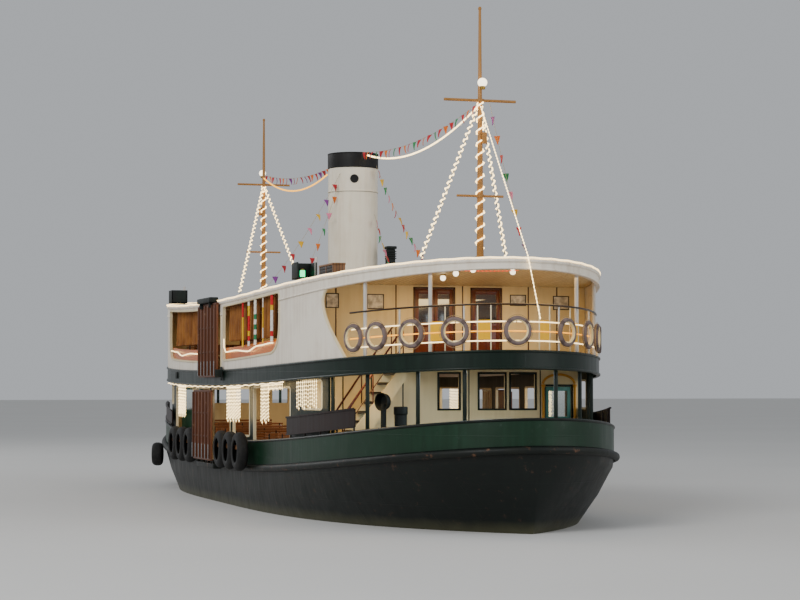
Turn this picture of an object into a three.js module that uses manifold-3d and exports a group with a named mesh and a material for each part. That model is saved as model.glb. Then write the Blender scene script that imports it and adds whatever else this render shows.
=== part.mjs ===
// Double-ended harbour passenger ferry, two decks, funnel amidships and a mast at each end.
// Millimetres. +X runs to one end (end 1), +Y to port, +Z up. Origin amidships on the waterline.
// Both ends are alike: what stands at end 1 is turned half a turn about Z for end 2.
import * as THREE from 'three';
import { mergeVertices } from 'three/addons/utils/BufferGeometryUtils.js';
import Module from 'manifold-3d';

const wasm = await Module();
wasm.setup();

// Driving dimensions
const GAP = 0.3;
const TOP_GAP = 1.5;
const FULLNESS = 3.75;
const HULL_PLAN = { halfLength: 16800, halfBeam: 4420 };
const HOUSE_PLAN = { halfLength: 15200, halfBeam: 4570 };
const MAIN_WALL_PLAN = { halfLength: 15900, halfBeam: 4270 };

// Levels with sheer: height amidships, and rise per square of the distance from amidships
const MAIN_DECK = { z: 1270, sheer: 3.2e-6 };
const BULWARK_TOP = { z: 1960, sheer: 3.1e-6 };
const BAND_LOW = { z: 3620, sheer: 1.8e-6 };
const UPPER_DECK_LOW = { z: 3900, sheer: 1.8e-6 };
const UPPER_DECK = { z: 4040, sheer: 1.8e-6 };
const BAND_TOP = { z: 4110, sheer: 1.8e-6 };
const FASCIA_LOW = { z: 5760, sheer: 3.4e-6 };
const ROOF_LOW = { z: 6148, sheer: 2.6e-6 };
const ROOF_EDGE = { z: 6190, sheer: 2.6e-6 };
const ROOF_CAMBER = 380;

const KEEL_Z = -2400;
const SHAFT_Z = -1620;
const END_WALL_X = 9600;
const WALL = 60;
const MAST_X = 12350;

// Stations along half the length; the hull has some more past the end of the deckhouse
const HOUSE_STATIONS = [
  0, 3800, 7000, 9500, 11000, 11900, 12500, 13100, 13600, 14000, 14300, 14600, 14850, 15060, 15160, 15200,
];
const HULL_STATIONS = [...HOUSE_STATIONS.slice(0, 13), 15300, 15800, 16200, 16480, 16660, 16770, 16800];

const finish = (color, roughness, metalness = 0) => (
  new THREE.MeshStandardMaterial({ color, roughness, metalness })
);
const finishes = {
  hullPaint: finish(0x12251d, 0.45),
  greenPaint: finish(0x1d3a2b, 0.4),
  strake: finish(0x15211b, 0.55),
  rubber: finish(0x141414, 0.85),
  whitePaint: finish(0xe9dfcf, 0.5),
  creamPaint: finish(0xeadfae, 0.5),
  darkPaint: finish(0x241d1b, 0.5),
  roofPaint: finish(0xcfc6b4, 0.7),
  varnish: finish(0x6d3d20, 0.4),
  benchWood: finish(0x8a5a32, 0.5),
  teal: finish(0x4f8f86, 0.5),
  brassBronze: finish(0x9c7a3c, 0.35, 1),
  steel: finish(0x6f7274, 0.45, 1),
  funnelWhite: finish(0xf0e6cf, 0.4),
  funnelBlack: finish(0x171717, 0.5),
  buoyWhite: finish(0xd9cdbd, 0.6),
  boxBlack: finish(0x101312, 0.5),
};

// Geometry helpers

function meshToSolid(geometry) {
  const bare = new THREE.BufferGeometry();
  bare.setAttribute('position', geometry.getAttribute('position').clone());
  if (geometry.index) bare.setIndex(geometry.index.clone());
  const merged = mergeVertices(bare, 1e-3);
  const at = merged.getAttribute('position');
  const index = Array.from(merged.index.array);
  let volume = 0;
  for (let i = 0; i < index.length; i += 3) {
    const [a, b, c] = [0, 1, 2].map((k) => new THREE.Vector3().fromBufferAttribute(at, index[i + k]));
    volume += a.dot(b.cross(c));
  }
  if (volume < 0) index.reverse();
  return new wasm.Manifold(new wasm.Mesh({
    numProp: 3,
    vertProperties: new Float32Array(at.array),
    triVerts: new Uint32Array(index),
  }));
}

function solidToGeometry(solid) {
  const mesh = solid.getMesh();
  const geometry = new THREE.BufferGeometry();
  geometry.setAttribute('position', new THREE.BufferAttribute(new Float32Array(mesh.vertProperties), 3));
  geometry.setIndex(Array.from(mesh.triVerts));
  return geometry;
}

function facesToSolid(vertices, faces) {
  const geometry = new THREE.BufferGeometry();
  geometry.setAttribute('position', new THREE.BufferAttribute(new Float32Array(vertices.flat()), 3));
  geometry.setIndex(faces.flat());
  return meshToSolid(geometry);
}

function block(x0, x1, y0, y1, z0, z1) {
  const geometry = new THREE.BoxGeometry(x1 - x0, y1 - y0, z1 - z0);
  geometry.translate((x0 + x1) / 2, (y0 + y1) / 2, (z0 + z1) / 2);
  return meshToSolid(geometry);
}

// A straight round bar between two points
function bar(from, to, radius, sides = 8, farRadius = radius) {
  const a = new THREE.Vector3(...from);
  const b = new THREE.Vector3(...to);
  const geometry = new THREE.CylinderGeometry(farRadius, radius, a.distanceTo(b), sides);
  const along = b.clone().sub(a).normalize();
  geometry.applyQuaternion(new THREE.Quaternion().setFromUnitVectors(new THREE.Vector3(0, 1, 0), along));
  geometry.translate(...a.add(b).multiplyScalar(0.5));
  return meshToSolid(geometry);
}

// A body of revolution about a vertical axis through (x, y); the profile is [radius, z] pairs
function turned(profile, x, y, sides = 24) {
  const geometry = new THREE.LatheGeometry(profile.map(([r, z]) => new THREE.Vector2(r, z)), sides);
  geometry.rotateX(Math.PI / 2);
  geometry.translate(x, y, 0);
  return meshToSolid(geometry);
}

// A ring of round section lying in the plane that faces outward from the side at (x, y)
function ring(x, y, z, heading, radius, sectionRadius, steps, sides) {
  const geometry = new THREE.TorusGeometry(radius, sectionRadius, sides, steps);
  geometry.rotateY(Math.PI / 2);
  geometry.rotateZ(heading);
  geometry.translate(x, y, z);
  return meshToSolid(geometry);
}

// A shape drawn in length and height, cut straight across the ship from y0 to y1
function acrossShip(shape, y0, y1, curveSegments = 5) {
  const geometry = new THREE.ExtrudeGeometry(shape, { depth: y1 - y0, bevelEnabled: false, curveSegments });
  geometry.rotateX(Math.PI / 2);
  geometry.translate(0, y1, 0);
  return meshToSolid(geometry);
}

// A shape drawn in breadth and height, cut straight along the ship from x0 to x1
function alongShip(shape, x0, x1, curveSegments = 5) {
  const geometry = new THREE.ExtrudeGeometry(shape, { depth: x1 - x0, bevelEnabled: false, curveSegments });
  geometry.rotateX(Math.PI / 2);
  geometry.rotateZ(Math.PI / 2);
  geometry.translate(x0, 0, 0);
  return meshToSolid(geometry);
}

const unite = (...solids) => solids.flat().reduce((whole, next) => whole.add(next));
const cut = (solid, ...cutters) => cutters.flat().reduce((whole, next) => whole.subtract(next), solid);
const turnEnd = (solid, end) => (end === 1 ? solid : solid.rotate([0, 0, 180]));
const mirrorSide = (solid, side) => (side === -1 ? solid : solid.mirror([0, 1, 0]));

// Heights and plan

// Height of a level at x, straight between stations as the decks themselves are
function heightAt(level, x) {
  const far = Math.min(Math.abs(x), HULL_STATIONS.at(-1));
  const next = Math.max(1, HULL_STATIONS.findIndex((station) => station >= far));
  const [s0, s1] = [HULL_STATIONS[next - 1], HULL_STATIONS[next]];
  const share = (far - s0) / (s1 - s0);
  return level.z + level.sheer * (s0 * s0 * (1 - share) + s1 * s1 * share);
}

function halfBreadth(plan, x) {
  return plan.halfBeam * Math.sqrt(Math.max(0, 1 - Math.abs(x / plan.halfLength) ** FULLNESS));
}

const stationsOf = (plan) => (plan === HULL_PLAN ? HULL_STATIONS : HOUSE_STATIONS);

// The outline of a plan along one side from x0 to x1 (x rising), side -1 starboard and 1 port
function sideLine(plan, x0, x1, side) {
  const all = stationsOf(plan).flatMap((s) => [s, -s]);
  const inner = all.filter((x) => x > x0 + 5 && x < x1 - 5);
  const xs = [...new Set([x0, ...inner, x1])].sort((a, b) => a - b);
  return xs.map((x) => [x, side * halfBreadth(plan, x)]);
}

// The outline round end 1, from x0 to starboard round the tip to x0 on the port side
function endLine(plan, x0) {
  const starboard = sideLine(plan, x0, plan.halfLength, -1);
  const port = sideLine(plan, x0, plan.halfLength, 1).reverse().slice(1);
  return [...starboard, ...port];
}

function wholeLine(plan) {
  const end = endLine(plan, 0);
  const other = end.map(([x, y]) => [-x, -y]);
  return [...end, ...other.slice(1, -1)];
}

// Moves a line outward (counter-clockwise lines) by a distance, keeping its number of points
function offset(line, distance, closed) {
  const count = line.length;
  const normal = (i, j) => {
    const [dx, dy] = [line[j][0] - line[i][0], line[j][1] - line[i][1]];
    const length = Math.hypot(dx, dy);
    return [dy / length, -dx / length];
  };
  return line.map(([x, y], i) => {
    const before = closed || i > 0 ? normal((i - 1 + count) % count, i) : null;
    const after = closed || i < count - 1 ? normal(i, (i + 1) % count) : null;
    const [a, b] = [before ?? after, after ?? before];
    const scale = distance / (1 + a[0] * b[0] + a[1] * b[1]);
    return [x + (a[0] + b[0]) * scale, y + (a[1] + b[1]) * scale];
  });
}

// A wall that follows a line: inner and outer offsets, and its foot and head as functions of x
function wallAlong(line, inner, outer, foot, head, closed = false) {
  const [inside, outside] = [offset(line, inner, closed), offset(line, outer, closed)];
  const vertices = [];
  line.forEach((_, i) => {
    const [[xi, yi], [xo, yo]] = [inside[i], outside[i]];
    vertices.push([xo, yo, foot(xo)], [xo, yo, head(xo)], [xi, yi, head(xi)], [xi, yi, foot(xi)]);
  });
  const faces = [];
  const count = line.length;
  for (let i = 0; i < (closed ? count : count - 1); i += 1) {
    const [p, q] = [i * 4, ((i + 1) % count) * 4];
    for (let k = 0; k < 4; k += 1) {
      const n = (k + 1) % 4;
      faces.push([p + k, q + k, q + n], [p + k, q + n, p + n]);
    }
  }
  if (!closed) {
    const last = (count - 1) * 4;
    faces.push([0, 1, 2], [0, 2, 3], [last, last + 2, last + 1], [last, last + 3, last + 2]);
  }
  return facesToSolid(vertices, faces);
}

// A solid through closed rings with the same number of points, each half mirrored in the other
function loftRings(rings) {
  const count = rings[0].length;
  const vertices = rings.flat();
  const faces = [];
  for (let r = 0; r < rings.length - 1; r += 1) {
    for (let i = 0; i < count; i += 1) {
      const [a, b] = [r * count + i, r * count + ((i + 1) % count)];
      faces.push([a, b, b + count], [a, b + count, a + count]);
    }
  }
  // Each end is closed by strips straight across the ship
  const capped = (start, flip) => {
    const tip = (count / 4) | 0;
    for (let i = 0; i < count / 2 - 1; i += 1) {
      const up = start + ((tip + 1 + i) % count);
      const upNext = start + ((tip + 2 + i) % count);
      const down = start + ((tip - 1 - i + count) % count);
      const downNext = start + ((tip - 2 - i + count) % count);
      const pairs = i === 0 ? [[start + tip, up, down]] : [];
      if (up !== downNext && upNext !== down) pairs.push([up, upNext, downNext], [up, downNext, down]);
      pairs.forEach(([a, b, c]) => {
        if (a !== b && b !== c && a !== c) faces.push(flip ? [a, c, b] : [a, b, c]);
      });
    }
  };
  capped(0, true);
  capped((rings.length - 1) * count, false);
  return facesToSolid(vertices, faces);
}

// Hull: rings from keel to deck; sharp and narrow below, full and round at the deck
// Columns: height, sheer, half length, half beam, fullness along, fullness across
const HULL_RINGS = [
  [KEEL_Z, 0, 13500, 170, 6, 1.6],
  [-2100, 0, 13620, 1750, 2, 0.95],
  [-1500, 0, 13900, 3150, 2.1, 0.95],
  [-800, 0, 14200, 3850, 2.3, 1],
  [-500, 0, 15900, 4140, 3, 1],
  [0, 0, 16250, 4300, 3.6, 1.05],
  [560, 1.2e-6, 16520, 4380, 3.85, 1.4],
  [1000, 2.7e-6, 16720, 4410, 3.85, 1.9],
  [MAIN_DECK.z, MAIN_DECK.sheer, HULL_PLAN.halfLength, HULL_PLAN.halfBeam, FULLNESS, 2],
];

function hullRing([z, sheer, halfLength, halfBeam, along, across]) {
  const share = HULL_STATIONS.map((station) => station / HULL_PLAN.halfLength);
  const point = (t, side) => [
    t * halfLength,
    side * halfBeam * Math.max(0, 1 - Math.abs(t) ** along) ** (1 / across),
    z + sheer * (t * HULL_PLAN.halfLength) ** 2,
  ];
  const forward = share.map((t) => point(t, -1));
  const back = share.slice(0, -1).reverse().map((t) => point(t, 1));
  const quarter = [...forward, ...back];
  const other = quarter.slice(1, -1).map(([x, y, h]) => [-x, -y, h]);
  return [...quarter, ...other];
}

const STOCK_X = 15400;
const PROPELLER_X = 14480;

function hullSolid() {
  const shell = loftRings(HULL_RINGS.map(hullRing));
  const soles = [1, 2].map((end) => turnEnd(block(13200, 15620, -75, 75, KEEL_Z, KEEL_Z + 140), end));
  const tubes = [1, 2].map((end) => turnEnd(bar([13200, 0, SHAFT_Z], [14270, 0, SHAFT_Z], 130, 16), end));
  const bores = [1, 2].map((end) => turnEnd(bar([STOCK_X, 0, -900], [STOCK_X, 0, 250], 85, 16), end));
  return cut(unite(shell, soles, tubes), bores);
}

// Belt round the deck edge, with a landing under each lower gangway
const LANDING = { half: 1300, inner: 4530, outer: 4800, low: 1085, top: 1245 };

function strakeSolid() {
  const line = wholeLine(HULL_PLAN);
  const foot = (x) => heightAt(MAIN_DECK, x) - 210;
  const head = (x) => heightAt(MAIN_DECK, x) - 20;
  const { half, inner, outer, low, top } = LANDING;
  const landing = block(-half, half, -outer, -inner, low, top);
  return unite(wallAlong(line, 2, 130, foot, head, true), landing, landing.mirror([0, 1, 0]));
}

// Bulwark: one length round each end, from one gangway gap to the other
const GANGWAY_HALF = 1300;
const GANGWAY_GAP = GANGWAY_HALF + 60;

// Bare boards stand on stanchions above the bulwark at the open end of the main deck
const BOARD = { from: 8300, to: 12700, foot: 110, head: 580, posts: [8500, 9900, 11250, 12600] };

function bulwarkSolid(end) {
  const line = endLine(HULL_PLAN, GANGWAY_GAP);
  const foot = (x) => heightAt(MAIN_DECK, x) + GAP;
  const head = (x) => heightAt(BULWARK_TOP, x);
  const plating = wallAlong(line, -80, -20, foot, head);
  const capRail = wallAlong(line, -110, 10, (x) => head(x) - 60, (x) => head(x) + 20);
  const boards = [1, -1].map((side) => {
    const board = wallAlong(sideLine(HULL_PLAN, BOARD.from, BOARD.to, -1), -70, -30,
      (x) => head(x) + BOARD.foot, (x) => head(x) + BOARD.head);
    const stanchions = BOARD.posts.map((x) => {
      const y = -halfBreadth(HULL_PLAN, x) + 62;
      return block(x - 30, x + 30, y, y + 40, head(x) - 10, head(x) + BOARD.head - 40);
    });
    return mirrorSide(unite(board, stanchions), -side);
  });
  return turnEnd(unite(plating, capRail, boards), end);
}

// Main deck side walls. Openings: from x, to x, foot height, head height, mirrored fore and aft
const MAIN_OPENINGS = [
  [1750, 3900, 2150, 3520],
  [4450, 8150, 1290, 3520],
  [9150, 10450, 2750, 3600],
];
const MAIN_WALL_HALF = 10850;
const MAIN_BOARDING_HEAD = 3500;
const UPPER_BOARDING_HEAD = 5830;

function mainSideWall(side) {
  const line = sideLine(MAIN_WALL_PLAN, -MAIN_WALL_HALF, MAIN_WALL_HALF, -1);
  const foot = (x) => heightAt(MAIN_DECK, x) + GAP;
  const head = (x) => heightAt(UPPER_DECK_LOW, x) - TOP_GAP;
  const wall = wallAlong(line, -WALL, 0, foot, head);
  const cutters = MAIN_OPENINGS.flatMap(([x0, x1, z0, z1]) => [1, -1].map((k) => {
    const [low, high] = k === 1 ? [x0, x1] : [-x1, -x0];
    const sill = heightAt({ z: z0, sheer: MAIN_DECK.sheer }, x0);
    return block(low, high, -5000, -3000, sill, heightAt({ z: z1, sheer: UPPER_DECK.sheer }, x0));
  }));
  const doorway = block(-GANGWAY_HALF, GANGWAY_HALF, -5000, -3000, MAIN_DECK.z + 40, MAIN_BOARDING_HEAD);
  return mirrorSide(cut(wall, cutters, doorway), side);
}

// Upper deck side walls: long windows with a large round at the outer lower corner, D-shaped ends
const UPPER_WINDOW = { from: 1650, to: 7950, foot: 4400, head: 6015, sheer: 3e-6, round: 800, small: 120 };
const UPPER_WALL_HALF = 11900;

function longWindow() {
  const { from, to, foot, head, sheer, round, small } = UPPER_WINDOW;
  const low = (x) => foot + sheer * x * x;
  const high = (x) => head + sheer * x * x;
  const shape = new THREE.Shape();
  const follow = (x0, x1, level) => [0.25, 0.5, 0.75, 1].forEach((share) => {
    const x = x0 + (x1 - x0) * share;
    shape.lineTo(x, level(x));
  });
  shape.moveTo(from + small, low(from + small));
  follow(from + small, to - round, low);
  shape.quadraticCurveTo(to, low(to), to, low(to) + round);
  shape.lineTo(to, high(to) - small);
  shape.quadraticCurveTo(to, high(to), to - small, high(to - small));
  follow(to - small, from + small, high);
  shape.quadraticCurveTo(from, high(from), from, high(from) - small);
  shape.lineTo(from, low(from) + small);
  shape.quadraticCurveTo(from, low(from), from + small, low(from + small));
  return shape;
}

function roundedEnd() {
  const shape = new THREE.Shape();
  shape.moveTo(13000, 4000);
  shape.lineTo(11900, 4260);
  shape.lineTo(11150, 5100);
  shape.quadraticCurveTo(10740, 5600, 10760, 5900);
  shape.quadraticCurveTo(10850, 6270, 11400, 6330);
  shape.lineTo(11900, 6380);
  shape.lineTo(13000, 6420);
  shape.closePath();
  return shape;
}

function upperSideWall(side) {
  const line = sideLine(HOUSE_PLAN, -UPPER_WALL_HALF, UPPER_WALL_HALF, -1);
  const foot = (x) => heightAt(BAND_TOP, x) + GAP;
  const head = (x) => heightAt(FASCIA_LOW, x) - TOP_GAP;
  const wall = wallAlong(line, -70, -10, foot, head);
  const one = [acrossShip(longWindow(), -5200, -3000), acrossShip(roundedEnd(), -5200, -2500)];
  const cutters = one.flatMap((solid) => [solid, solid.mirror([1, 0, 0])]);
  const doorway = block(-GANGWAY_HALF, GANGWAY_HALF, -5200, -3000, BAND_TOP.z + 20, UPPER_BOARDING_HEAD);
  return mirrorSide(cut(wall, cutters, doorway), side);
}

// Upper deck: slab with a well over each stair
const STAIR = { x0: 9900, x1: 11050, yFoot: -3480, yHead: -1620, steps: 10 };
const STAIR_RAIL = 820;
const WELL = { x0: STAIR.x0 - 40, x1: STAIR.x1 + 40, y0: STAIR.yFoot - 30, y1: STAIR.yHead + 30 };

function plate(line, low, top) {
  const ring3 = (level) => line.map(([x, y]) => [x, y, heightAt(level, x)]);
  return loftRings([ring3(low), ring3(top)]);
}

const BAND_THICK = 75;

function upperDeckSolid() {
  const line = offset(wholeLine(HOUSE_PLAN), -BAND_THICK - GAP, true);
  const slab = plate(line, UPPER_DECK_LOW, UPPER_DECK);
  const wells = [1, 2].map((end) => turnEnd(block(WELL.x0, WELL.x1, WELL.y0, WELL.y1, 3000, 5000), end));
  return cut(slab, wells);
}

// The deep band round the edge of the upper deck, in two lengths that meet amidships
const BAND_JOINT = 0.5;

function deckBandSolid(end) {
  const [foot, head] = [(x) => heightAt(BAND_LOW, x), (x) => heightAt(BAND_TOP, x)];
  return turnEnd(wallAlong(endLine(HOUSE_PLAN, BAND_JOINT), -BAND_THICK, 0, foot, head), end);
}

// Roof: flat ceiling and cambered top
function roofSolid() {
  const line = wholeLine(HOUSE_PLAN);
  const scaled = (share, level, rise) => line.map(([x, y]) => [
    x * (0.5 + share / 2),
    y * share,
    heightAt(level, x * (0.5 + share / 2)) + rise,
  ]);
  return loftRings([
    line.map(([x, y]) => [x, y, heightAt(ROOF_LOW, x)]),
    scaled(1, ROOF_EDGE, 0),
    scaled(0.72, ROOF_EDGE, ROOF_CAMBER * 0.48),
    scaled(0.4, ROOF_EDGE, ROOF_CAMBER * 0.84),
    scaled(0.1, ROOF_EDGE, ROOF_CAMBER),
  ]);
}

// Deep fascia hung under the roof edge, notched over the long windows and the boarding doorways, with
// a hoist hood over each upper gangway
const HOUSE_SKIN = -HOUSE_PLAN.halfBeam - 1;
const HOOD = { half: 950, depth: 290, z0: 6190, z1: 6350 };
const HOOD_PLATE = { half: 850, thick: 50, foot: 6000 };

function fasciaSolid() {
  const head = (x) => heightAt(ROOF_LOW, x) - GAP;
  const whole = wallAlong(wholeLine(HOUSE_PLAN), -80, 0, (x) => heightAt(FASCIA_LOW, x), head, true);
  const windows = acrossShip(longWindow(), -5200, 5200);
  const doorways = block(-GANGWAY_HALF, GANGWAY_HALF, -5200, 5200, FASCIA_LOW.z - 100, UPPER_BOARDING_HEAD);
  const ring = cut(whole, windows, windows.mirror([1, 0, 0]), doorways);
  const { half, thick, foot } = HOOD_PLATE;
  const hoods = [-1, 1].map((side) => mirrorSide(unite(
    block(-HOOD.half, HOOD.half, HOUSE_SKIN - HOOD.depth, HOUSE_SKIN, HOOD.z0, HOOD.z1),
    block(-half, half, HOUSE_SKIN - thick, HOUSE_SKIN, foot, HOOD.z0 + 10),
    block(-half, half, HOUSE_SKIN - thick, HOUSE_SKIN + 30, foot, ROOF_LOW.z - 30),
  ), side));
  return unite(ring, hoods);
}

// Transverse walls. Openings: from y, to y, foot above the deck, head above the deck.
// Doors have sills, so that they clear the deck, which rises outside them.
const UPPER_SILL = 60;
const MAIN_SILL = 110;
const UPPER_END_OPENINGS = [
  { from: -950, to: 150, foot: UPPER_SILL, head: 2060 },
  { from: 700, to: 1520, foot: UPPER_SILL, head: 2060 },
];
const MAIN_END_OPENINGS = [
  { from: -260, to: 310, foot: 1420, head: 2370 },
  { from: 910, to: 1650, foot: 1420, head: 2370 },
  { from: 1830, to: 2540, foot: 1420, head: 2370 },
  { from: 2850, to: 3620, foot: MAIN_SILL, head: 2030 },
];
const ENDS_CLEAR = 9;

function endWall(openings, deck, ceiling, halfWidth, end) {
  const [floor, head] = [heightAt(deck, END_WALL_X + WALL) + GAP, heightAt(ceiling, END_WALL_X) - TOP_GAP];
  const wall = block(END_WALL_X, END_WALL_X + WALL, -halfWidth, halfWidth, floor, head);
  const cutters = openings.map((row) => block(
    END_WALL_X - 100, END_WALL_X + WALL + 100, row.from, row.to, floor + row.foot, floor + row.head,
  ));
  return turnEnd(cut(wall, cutters), end);
}

const innerUpper = halfBreadth(HOUSE_PLAN, END_WALL_X + WALL) - 84 - ENDS_CLEAR;
const innerMain = halfBreadth(MAIN_WALL_PLAN, END_WALL_X + WALL) - WALL - ENDS_CLEAR;
const UPPER_FLOOR = heightAt(UPPER_DECK, END_WALL_X + WALL) + GAP;
const MAIN_FLOOR = heightAt(MAIN_DECK, END_WALL_X + WALL) + GAP;

// Doors: name, y of the hinged edge, y of the other edge, foot and head of the opening, finish
const DOOR_GAP = 8;
const upperDoor = { foot: UPPER_FLOOR + UPPER_SILL, head: UPPER_FLOOR + 2060, finish: finishes.varnish };
const mainDoor = { foot: MAIN_FLOOR + MAIN_SILL, head: MAIN_FLOOR + 2030, finish: finishes.teal };
const DOORS = [
  { name: 'saloon_door_starboard', hinge: -950, edge: -400, ...upperDoor },
  { name: 'saloon_door_port', hinge: 150, edge: -400, ...upperDoor },
  { name: 'cabin_door', hinge: 1520, edge: 700, ...upperDoor },
  { name: 'main_deck_door', hinge: 3620, edge: 2850, ...mainDoor },
];

function doorSolid({ hinge, edge, foot, head }, end) {
  const [low, high] = [Math.min(hinge, edge) + DOOR_GAP, Math.max(hinge, edge) - DOOR_GAP];
  const [x0, x1] = [END_WALL_X + DOOR_GAP, END_WALL_X + WALL - DOOR_GAP];
  return turnEnd(block(x0, x1, low, high, foot + DOOR_GAP, head - DOOR_GAP), end);
}

// Stairs climb inboard across the ship, at the starboard side of end 1, from main deck to upper deck
function stairSolid(end) {
  const { x0, x1, yFoot, yHead, steps } = STAIR;
  const floor = heightAt(MAIN_DECK, x1) + 4;
  const head = heightAt(UPPER_DECK, x0) + 10;
  const rise = (head - floor) / steps;
  const run = (yHead - yFoot) / steps;
  const stringer = (x) => {
    const shape = new THREE.Shape();
    shape.moveTo(yFoot, floor);
    shape.lineTo(yFoot + 330, floor);
    shape.lineTo(yHead, head - 400);
    shape.lineTo(yHead, head);
    shape.lineTo(yHead - 90, head);
    shape.lineTo(yFoot, floor + 300);
    shape.closePath();
    return alongShip(shape, x, x + 50, 1);
  };
  const treads = Array.from({ length: steps - 1 }, (_, i) => {
    const y = yFoot + 60 + i * run;
    const z = floor + (i + 1) * rise;
    return block(x0 + 20, x1 - 20, y, y + run + 40, z - 40, z);
  });
  const slope = (head - floor) / (yHead - yFoot);
  const nosing = (y) => floor + 200 + (y - yFoot) * slope;
  const handrail = (x) => [
    bar([x, yFoot + 40, nosing(yFoot) + STAIR_RAIL], [x, yHead - 40, nosing(yHead) + STAIR_RAIL], 26, 8),
    ...[yFoot + 90, (yFoot + yHead) / 2, yHead - 90].map((y) => (
      bar([x, y, nosing(y) - 160], [x, y, nosing(y) + STAIR_RAIL], 18, 6)
    )),
  ];
  return turnEnd(unite(stringer(x0), stringer(x1 - 50), treads, handrail(x0 + 26), handrail(x1 - 26)), end);
}

// Open ends. Posts carry the upper deck edge; rails and poles stand round the end of the upper deck
// Post places are distances from amidships, the same on both sides
const MAIN_POSTS = [11000, 12500, 14000, 14850];
const UPPER_POLES = [12500, 14300];
const UPPER_POLE_RADIUS = 50;
const RAIL_POSTS = [12500, 13600, 14300, 14850];
const RAIL_POST_RADIUS = 24;
const RAIL_STATIONS = [11960, ...RAIL_POSTS, 15130];

function outwardAt(x, side) {
  const step = 40;
  const dy = halfBreadth(HOUSE_PLAN, x + step) - halfBreadth(HOUSE_PLAN, x - step);
  return Math.atan2(side * 2 * step, -dy);
}

// A place on the deckhouse outline, moved inward from it
function placeInside(x, side, inward) {
  const heading = outwardAt(x, side);
  return [x - Math.cos(heading) * inward, side * halfBreadth(HOUSE_PLAN, x) - Math.sin(heading) * inward];
}

function endPosts(end) {
  const header = endLine(HOUSE_PLAN, MAIN_POSTS[0] - 60);
  const head = (x) => heightAt(UPPER_DECK_LOW, x) - TOP_GAP;
  const beam = wallAlong(header, -260, -160, (x) => head(x) - 120, head);
  const posts = MAIN_POSTS.flatMap((x) => [1, -1].map((side) => {
    const [px, py] = placeInside(x, side, 210);
    return bar([px, py, heightAt(MAIN_DECK, x) + 5], [px, py, head(px) - 60], 55, 6);
  }));
  return turnEnd(unite(beam, posts), end);
}

const RAIL_HEIGHTS = [230, 470, 710];
const HANDRAIL_HEIGHT = 1150;

// Lifebuoys hang outside the rails, the same on both sides; places are distances from amidships
const BUOY = { places: [12200, 13000, 13940, 14740], radius: 310, section: 62, height: 480 };

function endRail(end) {
  const starboard = RAIL_STATIONS.map((x) => [x, -halfBreadth(HOUSE_PLAN, x)]);
  const port = [...starboard].reverse().map(([x, y]) => [x, -y]);
  const line = [...starboard, [HOUSE_PLAN.halfLength, 0], ...port];
  const level = (rise) => (x) => heightAt(BAND_TOP, x) + rise;
  const rails = RAIL_HEIGHTS.map((h) => wallAlong(line, -110, -75, level(h - 18), level(h + 18)));
  const hand = wallAlong(line, -125, -60, level(HANDRAIL_HEIGHT - 25), level(HANDRAIL_HEIGHT + 25));
  const upright = (x, side, topAt, radius, sides) => {
    const [px, py] = placeInside(x, side, radius + 83);
    return bar([px, py, heightAt(UPPER_DECK, x) + 3], [px, py, topAt(px)], radius, sides);
  };
  const ceiling = (x) => heightAt(ROOF_LOW, x - UPPER_POLE_RADIUS) - TOP_GAP;
  const onBothSides = (places, ...rest) => (
    places.flatMap((x) => [1, -1].map((side) => upright(x, side, ...rest)))
  );
  const posts = onBothSides(RAIL_POSTS, level(HANDRAIL_HEIGHT), RAIL_POST_RADIUS, 4);
  const poles = onBothSides(UPPER_POLES, ceiling, UPPER_POLE_RADIUS, 6);
  const hung = (x, y, heading) => {
    const z = level(BUOY.height)(x);
    const inward = [x - 100 * Math.cos(heading), y - 100 * Math.sin(heading), z + 220];
    const hook = bar(inward, [x, y, z + BUOY.radius], 22, 4);
    return [ring(x, y, z, heading, BUOY.radius, BUOY.section, 10, 4), hook];
  };
  const buoys = BUOY.places.flatMap((x) => [1, -1].flatMap((side) => (
    hung(...placeInside(x, side, 0), outwardAt(x, side))
  )));
  const tipBuoy = hung(HOUSE_PLAN.halfLength, 0, 0);
  return turnEnd(unite(rails, hand, posts, poles, buoys, tipBuoy), end);
}

// Funnel: white casing with a thin ring, standing on the roof, and a black cap open at the top
const FUNNEL_RADIUS = 790;
const FUNNEL_RING = 9760;
const FUNNEL_WHITE_TOP = 10540;
const FUNNEL_TOP = 11010;
const FUNNEL_FOOT = heightAt(ROOF_EDGE, FUNNEL_RADIUS + 100) + ROOF_CAMBER + GAP;

function funnelCasing() {
  const [radius, foot, flange] = [FUNNEL_RADIUS, FUNNEL_FOOT, FUNNEL_RADIUS + 70];
  const [bead, beadZ, wall, mouth] = [radius + 22, FUNNEL_RING, radius - 40, FUNNEL_RING + 140];
  return turned([
    [0, foot + 120], [radius - 12, foot + 120], [radius - 12, foot + 4],
    [flange, foot + 4], [flange, foot + 90], [radius, foot + 120],
    [radius, beadZ], [bead, beadZ], [bead, beadZ + 50], [radius, beadZ + 50],
    [radius, FUNNEL_WHITE_TOP], [wall, FUNNEL_WHITE_TOP], [wall, mouth], [0, mouth],
  ], 0, 0, 24);
}

function funnelCap() {
  const [outer, inner] = [FUNNEL_RADIUS + 18, FUNNEL_RADIUS - 60];
  const [foot, top] = [FUNNEL_WHITE_TOP + 1, FUNNEL_TOP];
  return turned([[outer, foot], [outer, top], [inner, top], [inner, foot], [outer, foot]], 0, 0, 24);
}

// Height of the roof's top at a place, from the same sections as the roof itself
function roofTopAt(x, y) {
  const share = Math.max(Math.abs(y) / halfBreadth(HOUSE_PLAN, x), 0.1);
  const sections = [[0.1, 1], [0.4, 0.84], [0.72, 0.48], [1, 0]];
  const next = sections.findIndex(([s]) => s >= share) || 1;
  const [[s0, r0], [s1, r1]] = [sections[next - 1], sections[next]];
  return heightAt(ROOF_EDGE, x) + ROOF_CAMBER * (r0 + ((share - s0) / (s1 - s0)) * (r1 - r0));
}

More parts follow.
